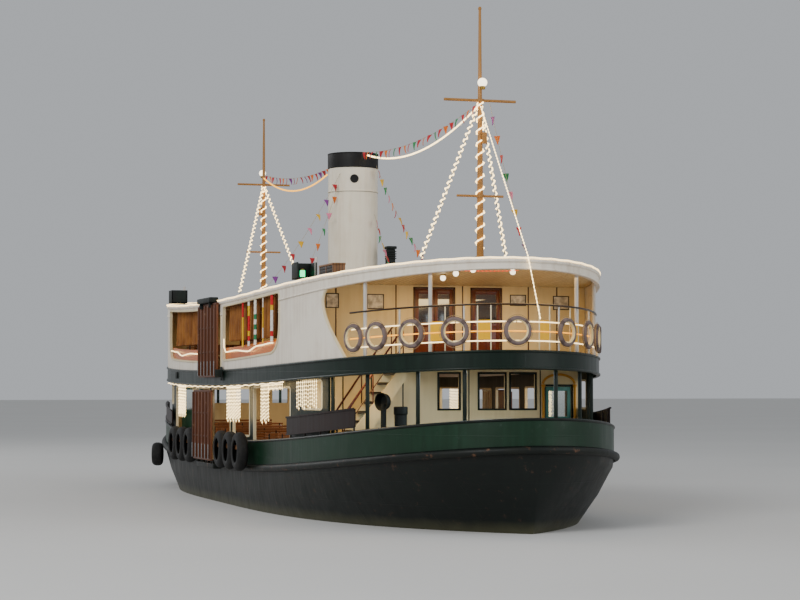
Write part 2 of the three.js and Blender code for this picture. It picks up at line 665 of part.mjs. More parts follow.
// Square vent trunk on the roof beside the funnel
const TRUNK = { x: 850, y: 990, half: 130, top: 8030 };

function ventTrunk() {
  const { x, y, half, top } = TRUNK;
  const foot = roofTopAt(x + half, y - half) + 12;
  const shaft = block(x - half, x + half, y - half, y + half, foot, top);
  const flange = block(x - half - 60, x + half + 60, y - half - 40, y + half + 60, foot, foot + 40);
  const lid = block(x - half - 40, x + half + 40, y - half - 20, y + half + 40, top - 90, top);
  return unite(shaft, flange, lid);
}

// Masts: pole, yard, lower bar, and two main stays down to the roof on the midship side
const MAST = {
  top: 13640,
  yard: 11150,
  yardHalf: 1000,
  bar: 8620,
  barHalf: 650,
  stepRadius: 170,
  stepHeight: 120,
  footRadius: 95,
  headRadius: 35,
};
const STAY_FOOT = { x: 11000, y: 1210, z: 7010 };
const MAST_LAMP = { z: 11600, reach: 200, radius: 130 };

function mastSolid(end) {
  const foot = heightAt(ROOF_EDGE, MAST_X) + 330;
  const { stepRadius, stepHeight, footRadius, headRadius } = MAST;
  const step = turned([
    [0, foot], [stepRadius, foot], [stepRadius, foot + stepHeight / 2],
    [stepRadius - 60, foot + stepHeight], [0, foot + stepHeight],
  ], MAST_X, 0, 12);
  const pole = bar([MAST_X, 0, foot + stepHeight / 2], [MAST_X, 0, MAST.top], footRadius, 12, headRadius);
  const yard = bar([MAST_X, -MAST.yardHalf, MAST.yard], [MAST_X, MAST.yardHalf, MAST.yard], 38, 8);
  const spreader = bar([MAST_X, -MAST.barHalf, MAST.bar], [MAST_X, MAST.barHalf, MAST.bar], 32, 8);
  const stays = [1, -1].map((side) => bar(
    [MAST_X, 0, MAST.yard], [STAY_FOOT.x, side * STAY_FOOT.y, STAY_FOOT.z], 16, 6,
  ));
  const lampX = MAST_X + MAST_LAMP.reach;
  const bracket = bar([MAST_X, 0, MAST_LAMP.z - 150], [lampX, 0, MAST_LAMP.z - 150], 20, 6);
  const lamp = turned([
    [0, MAST_LAMP.z - 180], [80, MAST_LAMP.z - 180], [MAST_LAMP.radius, MAST_LAMP.z - 40],
    [MAST_LAMP.radius, MAST_LAMP.z + 40], [80, MAST_LAMP.z + 120], [0, MAST_LAMP.z + 130],
  ], lampX, 0, 10);
  return turnEnd(unite(step, pole, yard, spreader, stays, bracket, lamp), end);
}

// Sidelights near each end: a dark screen box open to its own end, with the lamp inside,
// and a white post beside it
const SIDELIGHT = { x: 8950, y: -3900, halfX: 300, halfY: 280, height: 460, board: 40, lampRadius: 70 };

function sidelightSolid(side, end) {
  const { x, y, halfX, halfY, height, board, lampRadius } = SIDELIGHT;
  const foot = roofTopAt(x + halfX, y + halfY) + 10;
  const [x0, x1, y0, y1] = [x - halfX, x + halfX, y - halfY, y + halfY];
  const floor = block(x0, x1, y0, y1, foot, foot + board);
  const back = block(x0, x0 + board, y0, y1, foot, foot + height);
  const inboard = block(x0, x1, y1 - board, y1, foot, foot + height);
  const outboard = block(x0, x1, y0, y0 + board, foot, foot + height);
  const lamp = bar([x0 + board + 60, y, foot + 20], [x0 + board + 60, y, foot + 300], lampRadius, 10);
  const post = bar([x1 - 60, y1 - 10, foot], [x1 - 60, y1 - 10, foot + height + 150], 40, 8);
  return turnEnd(mirrorSide(unite(floor, back, inboard, outboard, lamp, post), side), end);
}

// Gangways: a ribbed leaf hinged at the deck edge, folded up against the side
const GANGWAYS = [
  { name: 'upper_gangway', z: 3880, height: 2290, y: -4640 },
  { name: 'lower_gangway', z: 1330, height: 2160, y: -4810 },
];
const LEAF = 70;

function gangwaySolid({ z, height, y }, side) {
  const half = GANGWAY_HALF - 10;
  const leaf = block(-half, half, y - LEAF, y, z, z + height);
  const ribs = Array.from({ length: 6 }, (_, i) => {
    const x = -half + 40 + (i * (2 * half - 140)) / 5;
    return block(x, x + 60, y - LEAF - 60, y - LEAF + 10, z + 60, z + height - 60);
  });
  return mirrorSide(unite(leaf, ribs), side);
}

// Tyre fenders along the side, hung from a board that carries them
const FENDER = { places: [2350, 3600, 4850], z: 1720, radius: 570, section: 170, y: -4770 };

function fenderSolid(side, end) {
  const tyres = FENDER.places.map((x) => {
    const geometry = new THREE.TorusGeometry(FENDER.radius - FENDER.section, FENDER.section, 5, 11);
    geometry.rotateX(Math.PI / 2);
    geometry.translate(x, FENDER.y, FENDER.z);
    return meshToSolid(geometry);
  });
  const [low, high, boardZ] = [FENDER.places[0] - 500, FENDER.places.at(-1) + 500, FENDER.z + 120];
  const board = block(low, high, FENDER.y - 40, FENDER.y + 40, boardZ - 70, boardZ + 70);
  const whole = mirrorSide(unite(tyres, board), side);
  return end === 1 ? whole : whole.mirror([1, 0, 0]);
}

// Propeller: hub with four pitched blades on the shaft line
function propellerSolid(end) {
  const hub = bar([PROPELLER_X - 190, 0, SHAFT_Z], [PROPELLER_X + 190, 0, SHAFT_Z], 130, 16, 70);
  const blades = [0, 1, 2, 3].map((i) => {
    const shape = new THREE.Shape();
    shape.absellipse(0, 360, 190, 270, 0, Math.PI * 2);
    const geometry = new THREE.ExtrudeGeometry(shape, { depth: 36, bevelEnabled: false, curveSegments: 7 });
    geometry.translate(0, 0, -18);
    geometry.rotateY(Math.PI / 2 - 0.45);
    geometry.rotateX(Math.PI / 2 + (i * Math.PI) / 2);
    geometry.translate(PROPELLER_X, 0, SHAFT_Z);
    return meshToSolid(geometry);
  });
  return turnEnd(unite(hub, blades), end);
}

// Rudder: a balanced blade on a stock that runs up into the hull
function rudderSolid(end) {
  const shape = new THREE.Shape();
  shape.moveTo(STOCK_X - 180, -2210);
  shape.lineTo(STOCK_X + 330, -2210);
  shape.quadraticCurveTo(STOCK_X + 560, -2210, STOCK_X + 560, -1950);
  shape.lineTo(STOCK_X + 480, -720);
  shape.lineTo(STOCK_X - 180, -720);
  shape.closePath();
  const blade = acrossShip(shape, -45, 45, 4);
  const stock = bar([STOCK_X, 0, -1600], [STOCK_X, 0, 200], 65, 12);
  return turnEnd(unite(blade, stock), end);
}

// Mooring post with a flat head on the open deck
const POST = { x: 14100, y: 900 };

function mooringPost(end) {
  const foot = heightAt(MAIN_DECK, POST.x + 200) + 2;
  return turnEnd(turned([
    [0, foot], [190, foot], [190, foot + 60], [120, foot + 90], [120, foot + 620], [230, foot + 660],
    [230, foot + 720], [0, foot + 720],
  ], POST.x, POST.y, 16), end);
}

// Long low lockers on the roof, on the starboard side of each end
const LOCKER = { x0: 6700, x1: 8200, y0: -2880, y1: -2540, height: 400 };

function roofLocker(end) {
  const { x0, x1, y0, y1, height } = LOCKER;
  const foot = roofTopAt(x1, y1) + 10;
  const body = block(x0, x1, y0, y1, foot, foot + height - 60);
  const lid = block(x0 - 20, x1 + 20, y0 - 20, y1 + 20, foot + height - 60, foot + height);
  return turnEnd(unite(body, lid), end);
}

// Gear on the open end of the main deck: one deck plate carries a round cowl on its stand
// and a square-shouldered ventilator
const GEAR_PLATE = { x0: 11350, x1: 12000, y0: -2700, y1: -1750, thick: 30 };
const COWL = { x: 11600, y: -2430, height: 1470, radius: 240, depth: 200, heading: -1.08, stand: 75 };
const VENT = { x: 11740, y: -2000, radius: 185, height: 1340 };

function deckGear(end) {
  const { x0, x1, y0, y1, thick } = GEAR_PLATE;
  const foot = heightAt(MAIN_DECK, x1) + 4;
  const base = block(x0, x1, y0, y1, foot, foot + thick);
  const cowlZ = foot + COWL.height;
  const along = [Math.cos(COWL.heading) * COWL.depth, Math.sin(COWL.heading) * COWL.depth];
  const stand = bar([COWL.x, COWL.y, foot + thick / 2], [COWL.x, COWL.y, cowlZ - 60], COWL.stand, 8);
  const mouth = bar([COWL.x - along[0] / 2, COWL.y - along[1] / 2, cowlZ],
    [COWL.x + along[0] / 2, COWL.y + along[1] / 2, cowlZ], COWL.radius * 0.85, 14, COWL.radius);
  const [neck, ventTop] = [VENT.radius - 20, foot + VENT.height];
  const vent = turned([
    [0, foot + thick / 2], [neck, foot + thick / 2], [neck, ventTop - 220],
    [VENT.radius, ventTop - 200], [VENT.radius, ventTop], [0, ventTop],
  ], VENT.x, VENT.y, 12);
  return turnEnd(unite(base, stand, mouth, vent), end);
}

// Seats: rows of benches with a common back, facing both ways, on a wooden floor laid on the deck
// Columns: name, level of the deck, first and last row from amidships, rows, half aisle, outer end
const SEATING = [
  ['upper_saloon_seats', UPPER_DECK, 1900, 8900, 6, 450, 3600],
  ['main_cabin_seats', MAIN_DECK, 2300, 8900, 5, 500, 3400],
].map(([name, level, first, last, rows, aisle, outer]) => ({ name, level, first, last, rows, aisle, outer }));
const SEAT = { height: 430, reach: 310, thick: 50, back: 860, stem: 30 };
const FLOOR = { halfLength: 9450, thick: 40 };

function seatingSolid({ level, first, last, rows, aisle, outer }) {
  const rowPlaces = Array.from({ length: rows }, (_, i) => first + (i * (last - first)) / (rows - 1));
  const stations = HOUSE_STATIONS.filter((x) => x < FLOOR.halfLength);
  const floorLine = [...stations, FLOOR.halfLength].map((x) => [x, 0]);
  const fullLine = [...floorLine.slice(1).reverse().map(([x]) => [-x, 0]), ...floorLine];
  const top = (x) => heightAt(level, x) + FLOOR.thick;
  const floor = wallAlong(fullLine, -outer - 100, outer + 100, (x) => heightAt(level, x) + GAP, top);
  const { height, reach, thick, back, stem } = SEAT;
  const profile = (x) => {
    const z = top(Math.abs(x));
    const half = [
      [stem, z - FLOOR.thick / 2], [stem, z + height - thick], [reach, z + height - thick],
      [reach, z + height], [stem, z + height], [stem, z + back],
    ];
    const points = [...half.map(([dx, h]) => [x + dx, h]), ...half.reverse().map(([dx, h]) => [x - dx, h])];
    return new THREE.Shape(points.map(([px, pz]) => new THREE.Vector2(px, pz)));
  };
  const benches = [...rowPlaces, ...rowPlaces.map((x) => -x)].flatMap((x) => [
    acrossShip(profile(x), -outer, -aisle), acrossShip(profile(x), aisle, outer),
  ]);
  return unite(floor, benches);
}

// Assembly
const ferry = new THREE.Group();

function add(name, solid, material) {
  const mesh = new THREE.Mesh(solidToGeometry(solid), material);
  mesh.name = name;
  ferry.add(mesh);
}

add('hull', hullSolid(), finishes.hullPaint);
add('rubbing_strake', strakeSolid(), finishes.strake);
add('upper_deck', upperDeckSolid(), finishes.darkPaint);
add('roof', roofSolid(), finishes.roofPaint);
add('roof_fascia', fasciaSolid(), finishes.whitePaint);
add('funnel_casing', funnelCasing(), finishes.funnelWhite);
add('funnel_cap', funnelCap(), finishes.funnelBlack);
add('vent_trunk', ventTrunk(), finishes.darkPaint);
SEATING.forEach((row) => add(row.name, seatingSolid(row), finishes.benchWood));

const SIDES = { starboard: -1, port: 1 };
for (const [sideName, side] of Object.entries(SIDES)) {
  add(`main_side_wall_${sideName}`, mainSideWall(side), finishes.greenPaint);
  add(`upper_side_wall_${sideName}`, upperSideWall(side), finishes.whitePaint);
  GANGWAYS.forEach((row) => add(`${row.name}_${sideName}`, gangwaySolid(row, side), finishes.varnish));
  for (const end of [1, 2]) {
    add(`tyre_fender_${sideName}_${end}`, fenderSolid(side, end), finishes.rubber);
    add(`sidelight_${sideName}_${end}`, sidelightSolid(side, end), finishes.boxBlack);
  }
}

for (const end of [1, 2]) {
  add(`bulwark_${end}`, bulwarkSolid(end), finishes.greenPaint);
  add(`upper_deck_band_${end}`, deckBandSolid(end), finishes.greenPaint);
  add(`main_end_wall_${end}`, endWall(MAIN_END_OPENINGS, MAIN_DECK, UPPER_DECK_LOW, innerMain, end),
    finishes.creamPaint);
  add(`upper_end_wall_${end}`, endWall(UPPER_END_OPENINGS, UPPER_DECK, ROOF_LOW, innerUpper, end),
    finishes.creamPaint);
  DOORS.forEach((row) => add(`${row.name}_${end}`, doorSolid(row, end), row.finish));
  add(`stair_${end}`, stairSolid(end), finishes.creamPaint);
  add(`end_posts_${end}`, endPosts(end), finishes.darkPaint);
  add(`end_rail_${end}`, endRail(end), finishes.buoyWhite);
  add(`mast_${end}`, mastSolid(end), finishes.whitePaint);
  add(`propeller_${end}`, propellerSolid(end), finishes.brassBronze);
  add(`rudder_${end}`, rudderSolid(end), finishes.hullPaint);
  add(`mooring_post_${end}`, mooringPost(end), finishes.steel);
  add(`deck_gear_${end}`, deckGear(end), finishes.steel);
  add(`roof_locker_${end}`, roofLocker(end), finishes.varnish);
}

export default ferry;
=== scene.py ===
import math
import random

import bpy
import numpy as np
from mathutils import Matrix, Vector


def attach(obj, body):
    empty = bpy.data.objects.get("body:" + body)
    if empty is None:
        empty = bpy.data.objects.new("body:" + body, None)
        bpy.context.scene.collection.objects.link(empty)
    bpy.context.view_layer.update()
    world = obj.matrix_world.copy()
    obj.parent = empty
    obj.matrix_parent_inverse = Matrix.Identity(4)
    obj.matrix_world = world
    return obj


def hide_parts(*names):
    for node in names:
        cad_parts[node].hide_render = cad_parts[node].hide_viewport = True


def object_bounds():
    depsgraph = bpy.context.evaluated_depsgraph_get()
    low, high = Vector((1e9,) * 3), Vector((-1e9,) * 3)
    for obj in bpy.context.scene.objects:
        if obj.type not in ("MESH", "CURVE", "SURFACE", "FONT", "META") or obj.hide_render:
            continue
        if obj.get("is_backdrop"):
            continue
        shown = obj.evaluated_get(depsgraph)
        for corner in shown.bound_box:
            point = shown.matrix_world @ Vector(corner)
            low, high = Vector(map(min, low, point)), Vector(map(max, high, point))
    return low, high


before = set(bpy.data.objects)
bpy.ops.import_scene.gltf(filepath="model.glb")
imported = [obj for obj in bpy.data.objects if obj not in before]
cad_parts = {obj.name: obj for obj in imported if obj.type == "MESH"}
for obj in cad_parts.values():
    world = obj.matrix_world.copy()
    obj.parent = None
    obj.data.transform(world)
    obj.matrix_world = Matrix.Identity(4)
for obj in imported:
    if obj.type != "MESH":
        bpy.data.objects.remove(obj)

cad_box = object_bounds()


# Camera: on the quay side, off the starboard bow and at deck height, with a long lens that
# flattens the ship as a view across the harbour does.
bpy.ops.object.camera_add(location=(65.02, -18.32, 3.65),
                          rotation=(math.radians(92.29), 0.0, math.radians(72.99)))
camera = bpy.context.object
camera.data.sensor_width = 36.0
camera.data.lens = 95.4
camera.data.clip_end = 1000.0
bpy.context.scene.camera = camera


# Floor and light: a pale floor at the waterline and large soft lamps, so that the paint reads as by day.
def linear(code):
    """A colour written as sRGB hex, as the four linear values that a shader takes."""
    parts = [int(code[i:i + 2], 16) / 255 for i in (0, 2, 4)]
    return tuple(c / 12.92 if c <= 0.04045 else ((c + 0.055) / 1.055) ** 2.4 for c in parts) + (1.0,)


def plug(material, node, sources):
    """Feeds a node's inputs, by name or number: a socket is linked, a value is set."""
    for name, source in sources.items():
        if isinstance(source, bpy.types.NodeSocket):
            material.node_tree.links.new(source, node.inputs[name])
        else:
            node.inputs[name].default_value = source


def add_node(material, kind, sources, **settings):
    """A node of a material; settings are its own values, sources feed its inputs."""
    made = material.node_tree.nodes.new("ShaderNode" + kind)
    for key, value in settings.items():
        setattr(made, key, value)
    plug(material, made, sources)
    return made


def new_material(name):
    """An empty material and the place where its pattern is read from."""
    material = bpy.data.materials.new(name)
    material.use_nodes = True
    return material, add_node(material, "TexCoord", {}).outputs["Object"]


def shaded(material, sources):
    """Feeds a material's shader and returns the material."""
    plug(material, material.node_tree.nodes["Principled BSDF"], sources)
    return material


def noise(material, place, scale, detail, roughness=0.5):
    """Fractal noise, scale to the metre."""
    sources = {"Vector": place, "Scale": scale, "Detail": detail, "Roughness": roughness}
    return add_node(material, "TexNoise", sources).outputs["Fac"]


def ranged(material, value, low, high, start=0.0, stop=1.0):
    """A value brought from start and stop to low and high."""
    sources = {"Value": value, "From Min": start, "From Max": stop, "To Min": low, "To Max": high}
    return add_node(material, "MapRange", sources).outputs["Result"]


def toned(material, value, dark, light, start=0.0, stop=1.0):
    """A colour along a value, from dark at start to light at stop."""
    ramp = add_node(material, "ValToRGB", {"Fac": value})
    for element, colour, position in zip(ramp.color_ramp.elements, (dark, light), (start, stop)):
        element.color, element.position = linear(colour), position
    return ramp.outputs["Color"]


def matt_floor():
    """Matt painted studio floor, rolled on, so only a faint broad mottle shows."""
    material, place = new_material("matt_painted_floor")
    tone = toned(material, noise(material, place, 0.08, 3.0), "c9c8c5", "d3d2cf")
    return shaded(material, {"Base Color": tone, "Roughness": 0.9})


bpy.ops.object.select_all(action="DESELECT")
bpy.ops.mesh.primitive_plane_add(size=900.0, location=(0.0, 0.0, 0.0))
floor = bpy.context.object
floor.name = "studio_floor"
floor.data.materials.append(matt_floor())
floor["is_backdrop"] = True

world = bpy.data.worlds.new("studio_air")
world.use_nodes = True
world.node_tree.nodes["Background"].inputs["Color"].default_value = linear("dfe3e8")
world.node_tree.nodes["Background"].inputs["Strength"].default_value = 0.62
bpy.context.scene.world = world

# Columns: name, place, size, power in watts
STUDIO_LAMPS = [
    ("key_lamp", (52.0, -46.0, 38.0), 30.0, 26000.0),
    ("fill_lamp", (48.0, 40.0, 22.0), 36.0, 9000.0),
    ("far_lamp", (-50.0, -38.0, 34.0), 34.0, 10000.0),
]
for name, place, size, power in STUDIO_LAMPS:
    bpy.ops.object.light_add(type="AREA", location=place)
    lamp = bpy.context.object
    lamp.name = name
    lamp.data.size = size
    lamp.data.energy = power
    lamp.rotation_euler = (Vector((0.0, 0.0, 4.0)) - lamp.location).to_track_quat("-Z", "Y").to_euler()


# Hull: welded steel plating, sprayed with black-green enamel above water and red-brown antifouling
# below it. Plates show as faint seams and shallow buckles, with scuffs and rust runs under the edge.
FULLNESS = 3.75
HULL_PLAN = (16.8, 4.42)
HOUSE_PLAN = (15.2, 4.57)
MAIN_DECK = (1.27, 0.0032)
# Columns: height, sheer, half length, half beam, fullness along, fullness across
HULL_RINGS = [
    (-2.40, 0.0, 13.50, 0.17, 6.0, 1.6),
    (-2.10, 0.0, 13.62, 1.75, 2.0, 0.95),
    (-1.50, 0.0, 13.90, 3.15, 2.1, 0.95),
    (-0.80, 0.0, 14.20, 3.85, 2.3, 1.0),
    (-0.50, 0.0, 15.90, 4.14, 3.0, 1.0),
    (0.00, 0.0, 16.25, 4.30, 3.6, 1.05),
    (0.56, 0.0012, 16.52, 4.38, 3.85, 1.4),
    (1.00, 0.0027, 16.72, 4.41, 3.85, 1.9),
    (1.27, 0.0032, 16.80, 4.42, FULLNESS, 2.0),
]


def sheet_of_points(name, columns, rows, place):
    """A primitive grid set to place(u, v), closed where its edges meet, with its faces outward."""
    bpy.ops.object.select_all(action="DESELECT")
    bpy.ops.mesh.primitive_grid_add(x_subdivisions=columns, y_subdivisions=rows, size=2.0)
    piece = bpy.context.object
    piece.name = piece.data.name = name
    points = np.empty(len(piece.data.vertices) * 3)
    piece.data.vertices.foreach_get("co", points)
    for corner in points.reshape(-1, 3):
        corner[:] = place((corner[0] + 1) / 2, (corner[1] + 1) / 2)
    piece.data.vertices.foreach_set("co", points)
    bpy.ops.object.mode_set(mode="EDIT")
    bpy.ops.mesh.select_all(action="SELECT")
    bpy.ops.mesh.remove_doubles(threshold=0.0004)
    bpy.ops.mesh.normals_make_consistent(inside=False)
    bpy.ops.object.mode_set(mode="OBJECT")
    bpy.ops.object.shade_smooth_by_angle(angle=math.radians(38))
    return piece


def round_the_ship(u):
    """Share of the half length and the side, as u runs once round the outline; close points at the ends."""
    turn = (u * 4) % 4
    quarter, part = int(turn), turn % 1
    near_end = 1 - (1 - part) ** 2
    near_middle = 1 - part ** 2
    return [(near_end, -1), (near_middle, 1), (-near_end, 1), (-near_middle, -1)][quarter]


def hull_place(u, v):
    share, side = round_the_ship(u)
    at = v * (len(HULL_RINGS) - 1)
    low = min(int(at), len(HULL_RINGS) - 2)
    part = at - low
    points = []
    for z, sheer, half_length, half_beam, along, across in HULL_RINGS[low:low + 2]:
        breadth = max(0.0, 1 - abs(share) ** along) ** (1 / across)
        points.append((share * half_length, side * half_beam * breadth,
                       z + sheer * (share * HULL_PLAN[0]) ** 2))
    return [a * (1 - part) + b * part for a, b in zip(*points)]


def close_ends(piece):
    """Fills the open loops of a shell."""
    bpy.context.view_layer.objects.active = piece
    bpy.ops.object.mode_set(mode="EDIT")
    bpy.ops.mesh.select_all(action="DESELECT")
    bpy.ops.mesh.select_mode(type="EDGE")
    bpy.ops.mesh.select_non_manifold(extend=False, use_wire=False, use_multi_face=False,
                                     use_non_contiguous=False,
                                     use_verts=False)
    bpy.ops.mesh.fill(use_beauty=False)
    bpy.ops.mesh.select_all(action="SELECT")
    bpy.ops.mesh.normals_make_consistent(inside=False)
    bpy.ops.mesh.select_mode(type="VERT")
    bpy.ops.object.mode_set(mode="OBJECT")


def fit(piece, material, slot=None, body="root", replaces=()):
    """Gives a piece its material and its body, and hides the CAD parts that it replaces."""
    piece.data.materials.clear()
    piece.data.materials.append(material)
    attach(piece, body)
    if replaces:
        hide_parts(*replaces)
    return piece


def blended(material, share, first, second):
    """Two colours mixed by a share; each is a hex code or a socket."""
    first, second = (linear(c) if isinstance(c, str) else c for c in (first, second))
    return add_node(material, "Mix", {0: share, 6: first, 7: second}, data_type="RGBA").outputs[2]


def scaled(material, place, scale):
    return add_node(material, "Mapping", {"Vector": place, "Scale": scale}).outputs["Vector"]


def bumped(material, height, strength, distance, under=None, invert=False):
    """Relief from a height, in metres, over the relief under it."""
    sources = {"Height": height, "Strength": strength, "Distance": distance}
    if under:
        sources["Normal"] = under
    return add_node(material, "Bump", sources, invert=invert).outputs["Normal"]


def weathered_paint(name, colour, stain, roughness=0.45, streaks=0.35, plates=None, buckle=0.0, wear=None):
    """Sprayed enamel on steel plate: broad mottle, rain streaks, weld seams and shallow buckles.
    plates is the width and height of one plate in metres; wear is a second colour rubbed bare in spots."""
    material, place = new_material(name)
    runs = noise(material, scaled(material, place, (5.0, 5.0, 0.35)), 1.6, 6.0)
    mottle = noise(material, place, 0.7, 4.0, 0.6)
    both = add_node(material, "Math", {0: mottle, 1: runs}, operation="MULTIPLY").outputs["Value"]
    tone = blended(material, ranged(material, both, 0.0, streaks, 0.2, 0.42), colour, stain)
    if wear:
        rubbed = ranged(material, noise(material, place, 3.5, 9.0, 0.72), 0.0, 1.0, 0.6, 0.68)
        tone = blended(material, rubbed, tone, wear)
    relief = bumped(material, noise(material, place, 55.0, 2.0), 0.12, 0.004)
    if plates:
        upright = add_node(material, "Mapping", {"Vector": place, "Rotation": (math.radians(90), 0.0, 0.0)})
        seams = add_node(material, "TexBrick", {
            "Vector": upright.outputs["Vector"], "Scale": 1.0, "Mortar Size": 0.012, "Mortar Smooth": 0.4,
            "Brick Width": plates[0], "Row Height": plates[1]})
        relief = bumped(material, seams.outputs["Fac"], 0.35, 0.008, relief)
    if buckle:
        relief = bumped(material, noise(material, place, 1.1, 1.0), buckle, 0.06, relief)
    shine = ranged(material, runs, roughness - 0.1, roughness + 0.18)
    return shaded(material,
                  {"Base Color": tone, "Specular IOR Level": 0.3, "Roughness": shine, "Normal": relief})


def hull_enamel():
    """Black-green enamel above water and red-brown antifouling below, with a scum line between them."""
    material = weathered_paint("hull_enamel_and_antifouling", "060d0a", "0e1813", 0.45, 0.6, (2.4, 0.62),
                               0.55,
                               "3a2a20")
    above = material.node_tree.nodes["Principled BSDF"].inputs["Base Color"].links[0].from_socket
    place = add_node(material, "TexCoord", {}).outputs["Object"]
    height = add_node(material, "SeparateXYZ", {0: place}).outputs["Z"]
    edge = ranged(material, noise(material, place, 2.0, 5.0), -0.02, 0.16)
    wet = add_node(material, "Math", {0: height, 1: edge}, operation="SUBTRACT").outputs["Value"]
    dirty = blended(material, ranged(material, wet, 0.0, 0.75, 0.25, -0.02), above, "4b4a35")
    under = ranged(material, height, 0.0, 1.0, -0.02, -0.04)
    return shaded(material, {"Base Color": blended(material, under, dirty, "5a2a20")})


hull = sheet_of_points("hull_plating", 224, 56, hull_place)
close_ends(hull)
HULL_PAINT = hull_enamel()


def tidy_join(name, *pieces):
    """Several pieces made one."""
    bpy.ops.object.select_all(action="DESELECT")
    for piece in pieces:
        piece.select_set(True)
    bpy.context.view_layer.objects.active = pieces[0]
    bpy.ops.object.join()
    joined = bpy.context.object
    joined.name = joined.data.name = name
    return joined


def beam(name, low, high, edge=0.008, segments=2):
    """A bar or plate between two corners, with its edges rounded."""
    bpy.ops.object.select_all(action="DESELECT")
    centre = [(a + b) / 2 for a, b in zip(low, high)]
    bpy.ops.mesh.primitive_cube_add(size=1.0, location=centre, scale=[abs(b - a) for a, b in zip(low, high)])
    bpy.ops.object.transform_apply(location=True, rotation=True, scale=True)
    piece = bpy.context.object
    piece.name = piece.data.name = name
    rounding = piece.modifiers.new("edges", "BEVEL")
    rounding.width, rounding.segments = edge, segments
    bpy.ops.object.modifier_apply(modifier=rounding.name)
    bpy.ops.object.shade_smooth_by_angle(angle=math.radians(40))
    return piece


def pole(name, foot, head, radius, top_radius=None, sides=20, edge=0.006):
    """A round bar between two points, tapered if it has a top radius, with its rims rounded."""
    bpy.ops.object.select_all(action="DESELECT")
    foot, head = Vector(foot), Vector(head)
    bpy.ops.mesh.primitive_cone_add(vertices=sides, radius1=radius, radius2=top_radius or radius,
                                    depth=(head - foot).length, location=(foot + head) / 2,
                                    rotation=(head - foot).to_track_quat("Z", "Y").to_euler())
    bpy.ops.object.transform_apply(location=True, rotation=True, scale=True)
    piece = bpy.context.object
    piece.name = piece.data.name = name
    rounding = piece.modifiers.new("rims", "BEVEL")
    rounding.width, rounding.segments, rounding.angle_limit = edge, 2, math.radians(50)
    bpy.ops.object.modifier_apply(modifier=rounding.name)
    bpy.ops.object.shade_smooth_by_angle(angle=math.radians(40))
    return piece


SOLE = (13.2, 15.62, -2.40, -2.26)
keel_parts = [hull]
for end in (1, -1):
    keel_parts.append(beam("sole", (end * SOLE[0], -0.075, SOLE[2]), (end * SOLE[1], 0.075, SOLE[3]), 0.02))
    keel_parts.append(pole("stern_tube", (end * 13.2, 0.0, -1.62), (end * 14.27, 0.0, -1.62), 0.13, 0.125,
                           32))
hull = tidy_join("hull_plating", *keel_parts)
fit(hull, HULL_PAINT, "hull_paint", replaces=["hull"])


# Deck covering: planked teak laid over the steel deck, scrubbed grey-brown, with dark caulked seams.
def planked_wood(name, light, dark, plank=0.12, length=3.0, roughness=0.6, along=0.0):
    """Wood laid as planks: plank width and length in metres, grain along the ship or turned by an angle."""
    material, place = new_material(name)
    turned = add_node(material, "Mapping", {"Vector": place, "Rotation": (0.0, 0.0, along)}).outputs["Vector"]
    planks = add_node(material, "TexBrick", {
        "Vector": turned, "Scale": 1.0, "Mortar Size": 0.006, "Bias": 0.0, "Mortar Smooth": 0.2,
        "Brick Width": length, "Row Height": plank, "Color1": linear(light), "Color2": linear(dark),
        "Mortar": linear("1c1612")}, offset=0.37)
    grain = noise(material, scaled(material, turned, (1.2, 22.0, 22.0)), 2.2, 7.0, 0.65)
    tone = add_node(material, "HueSaturation", {"Color": planks.outputs["Color"],
                                                "Value": ranged(material, grain, 0.72, 1.12, 0.3, 0.7)})
    seams = bumped(material, planks.outputs["Fac"], 0.5, 0.004, invert=True)
    return shaded(material, {"Base Color": tone.outputs["Color"], "Roughness": roughness,
                             "Normal": bumped(material, grain, 0.15, 0.002, seams)})


def half_breadth(plan, x):
    return plan[1] * math.sqrt(max(0.0, 1 - min(1.0, abs(x / plan[0])) ** FULLNESS))


def height(level, x):
    return level[0] + level[1] * x * x


def crowned(plan, level, inset=0.0):
    """A deck or ceiling inside an outline, moved in by inset."""
    def place(u, v):
        share, side = round_the_ship(u)
        reach = v * (1 - inset / plan[1])
        x, y = share * plan[0] * reach, side * half_breadth(plan, share * plan[0]) * reach
        return x, y, height(level, x)
    return place


TEAK = planked_wood("scrubbed_teak_planks", "8b7358", "77624a", 0.11, 3.6, 0.65)


def thickened(piece, thickness, offset=0.0):
    """A sheet given a thickness: about its own surface, or below it with offset -1."""
    bpy.context.view_layer.objects.active = piece
    skin = piece.modifiers.new("thickness", "SOLIDIFY")
    skin.thickness, skin.offset = thickness, offset
    bpy.ops.object.modifier_apply(modifier=skin.name)
    return piece


main_planks = thickened(sheet_of_points("main_deck_planking", 160, 24, crowned((16.7, 4.32), (1.28, 0.0032))),
                        0.008)
fit(main_planks, TEAK, "hull_paint")


# Rubbing strake: a steel half-round belt welded round the deck edge, painted with the hull and worn
# through to rust and bare metal along its proudest edge.
def swept(name, line, section, closed=True):
    """A section carried along a line. line: points with outward normals; section: pairs of outward
    distance and a level. An open line is closed at its ends."""
    count = len(line) - 1
    loop = section + section[:1]

    def place(u, v):
        (x, y), (nx, ny) = line[round(u * count)]
        out, level = loop[round(v * (len(loop) - 1))]
        return x + nx * out, y + ny * out, height(level, x + nx * out)
    piece = sheet_of_points(name, count, len(loop) - 1, place)
    if not closed:
        close_ends(piece)
        bpy.ops.object.shade_smooth_by_angle(angle=math.radians(38))
    return piece


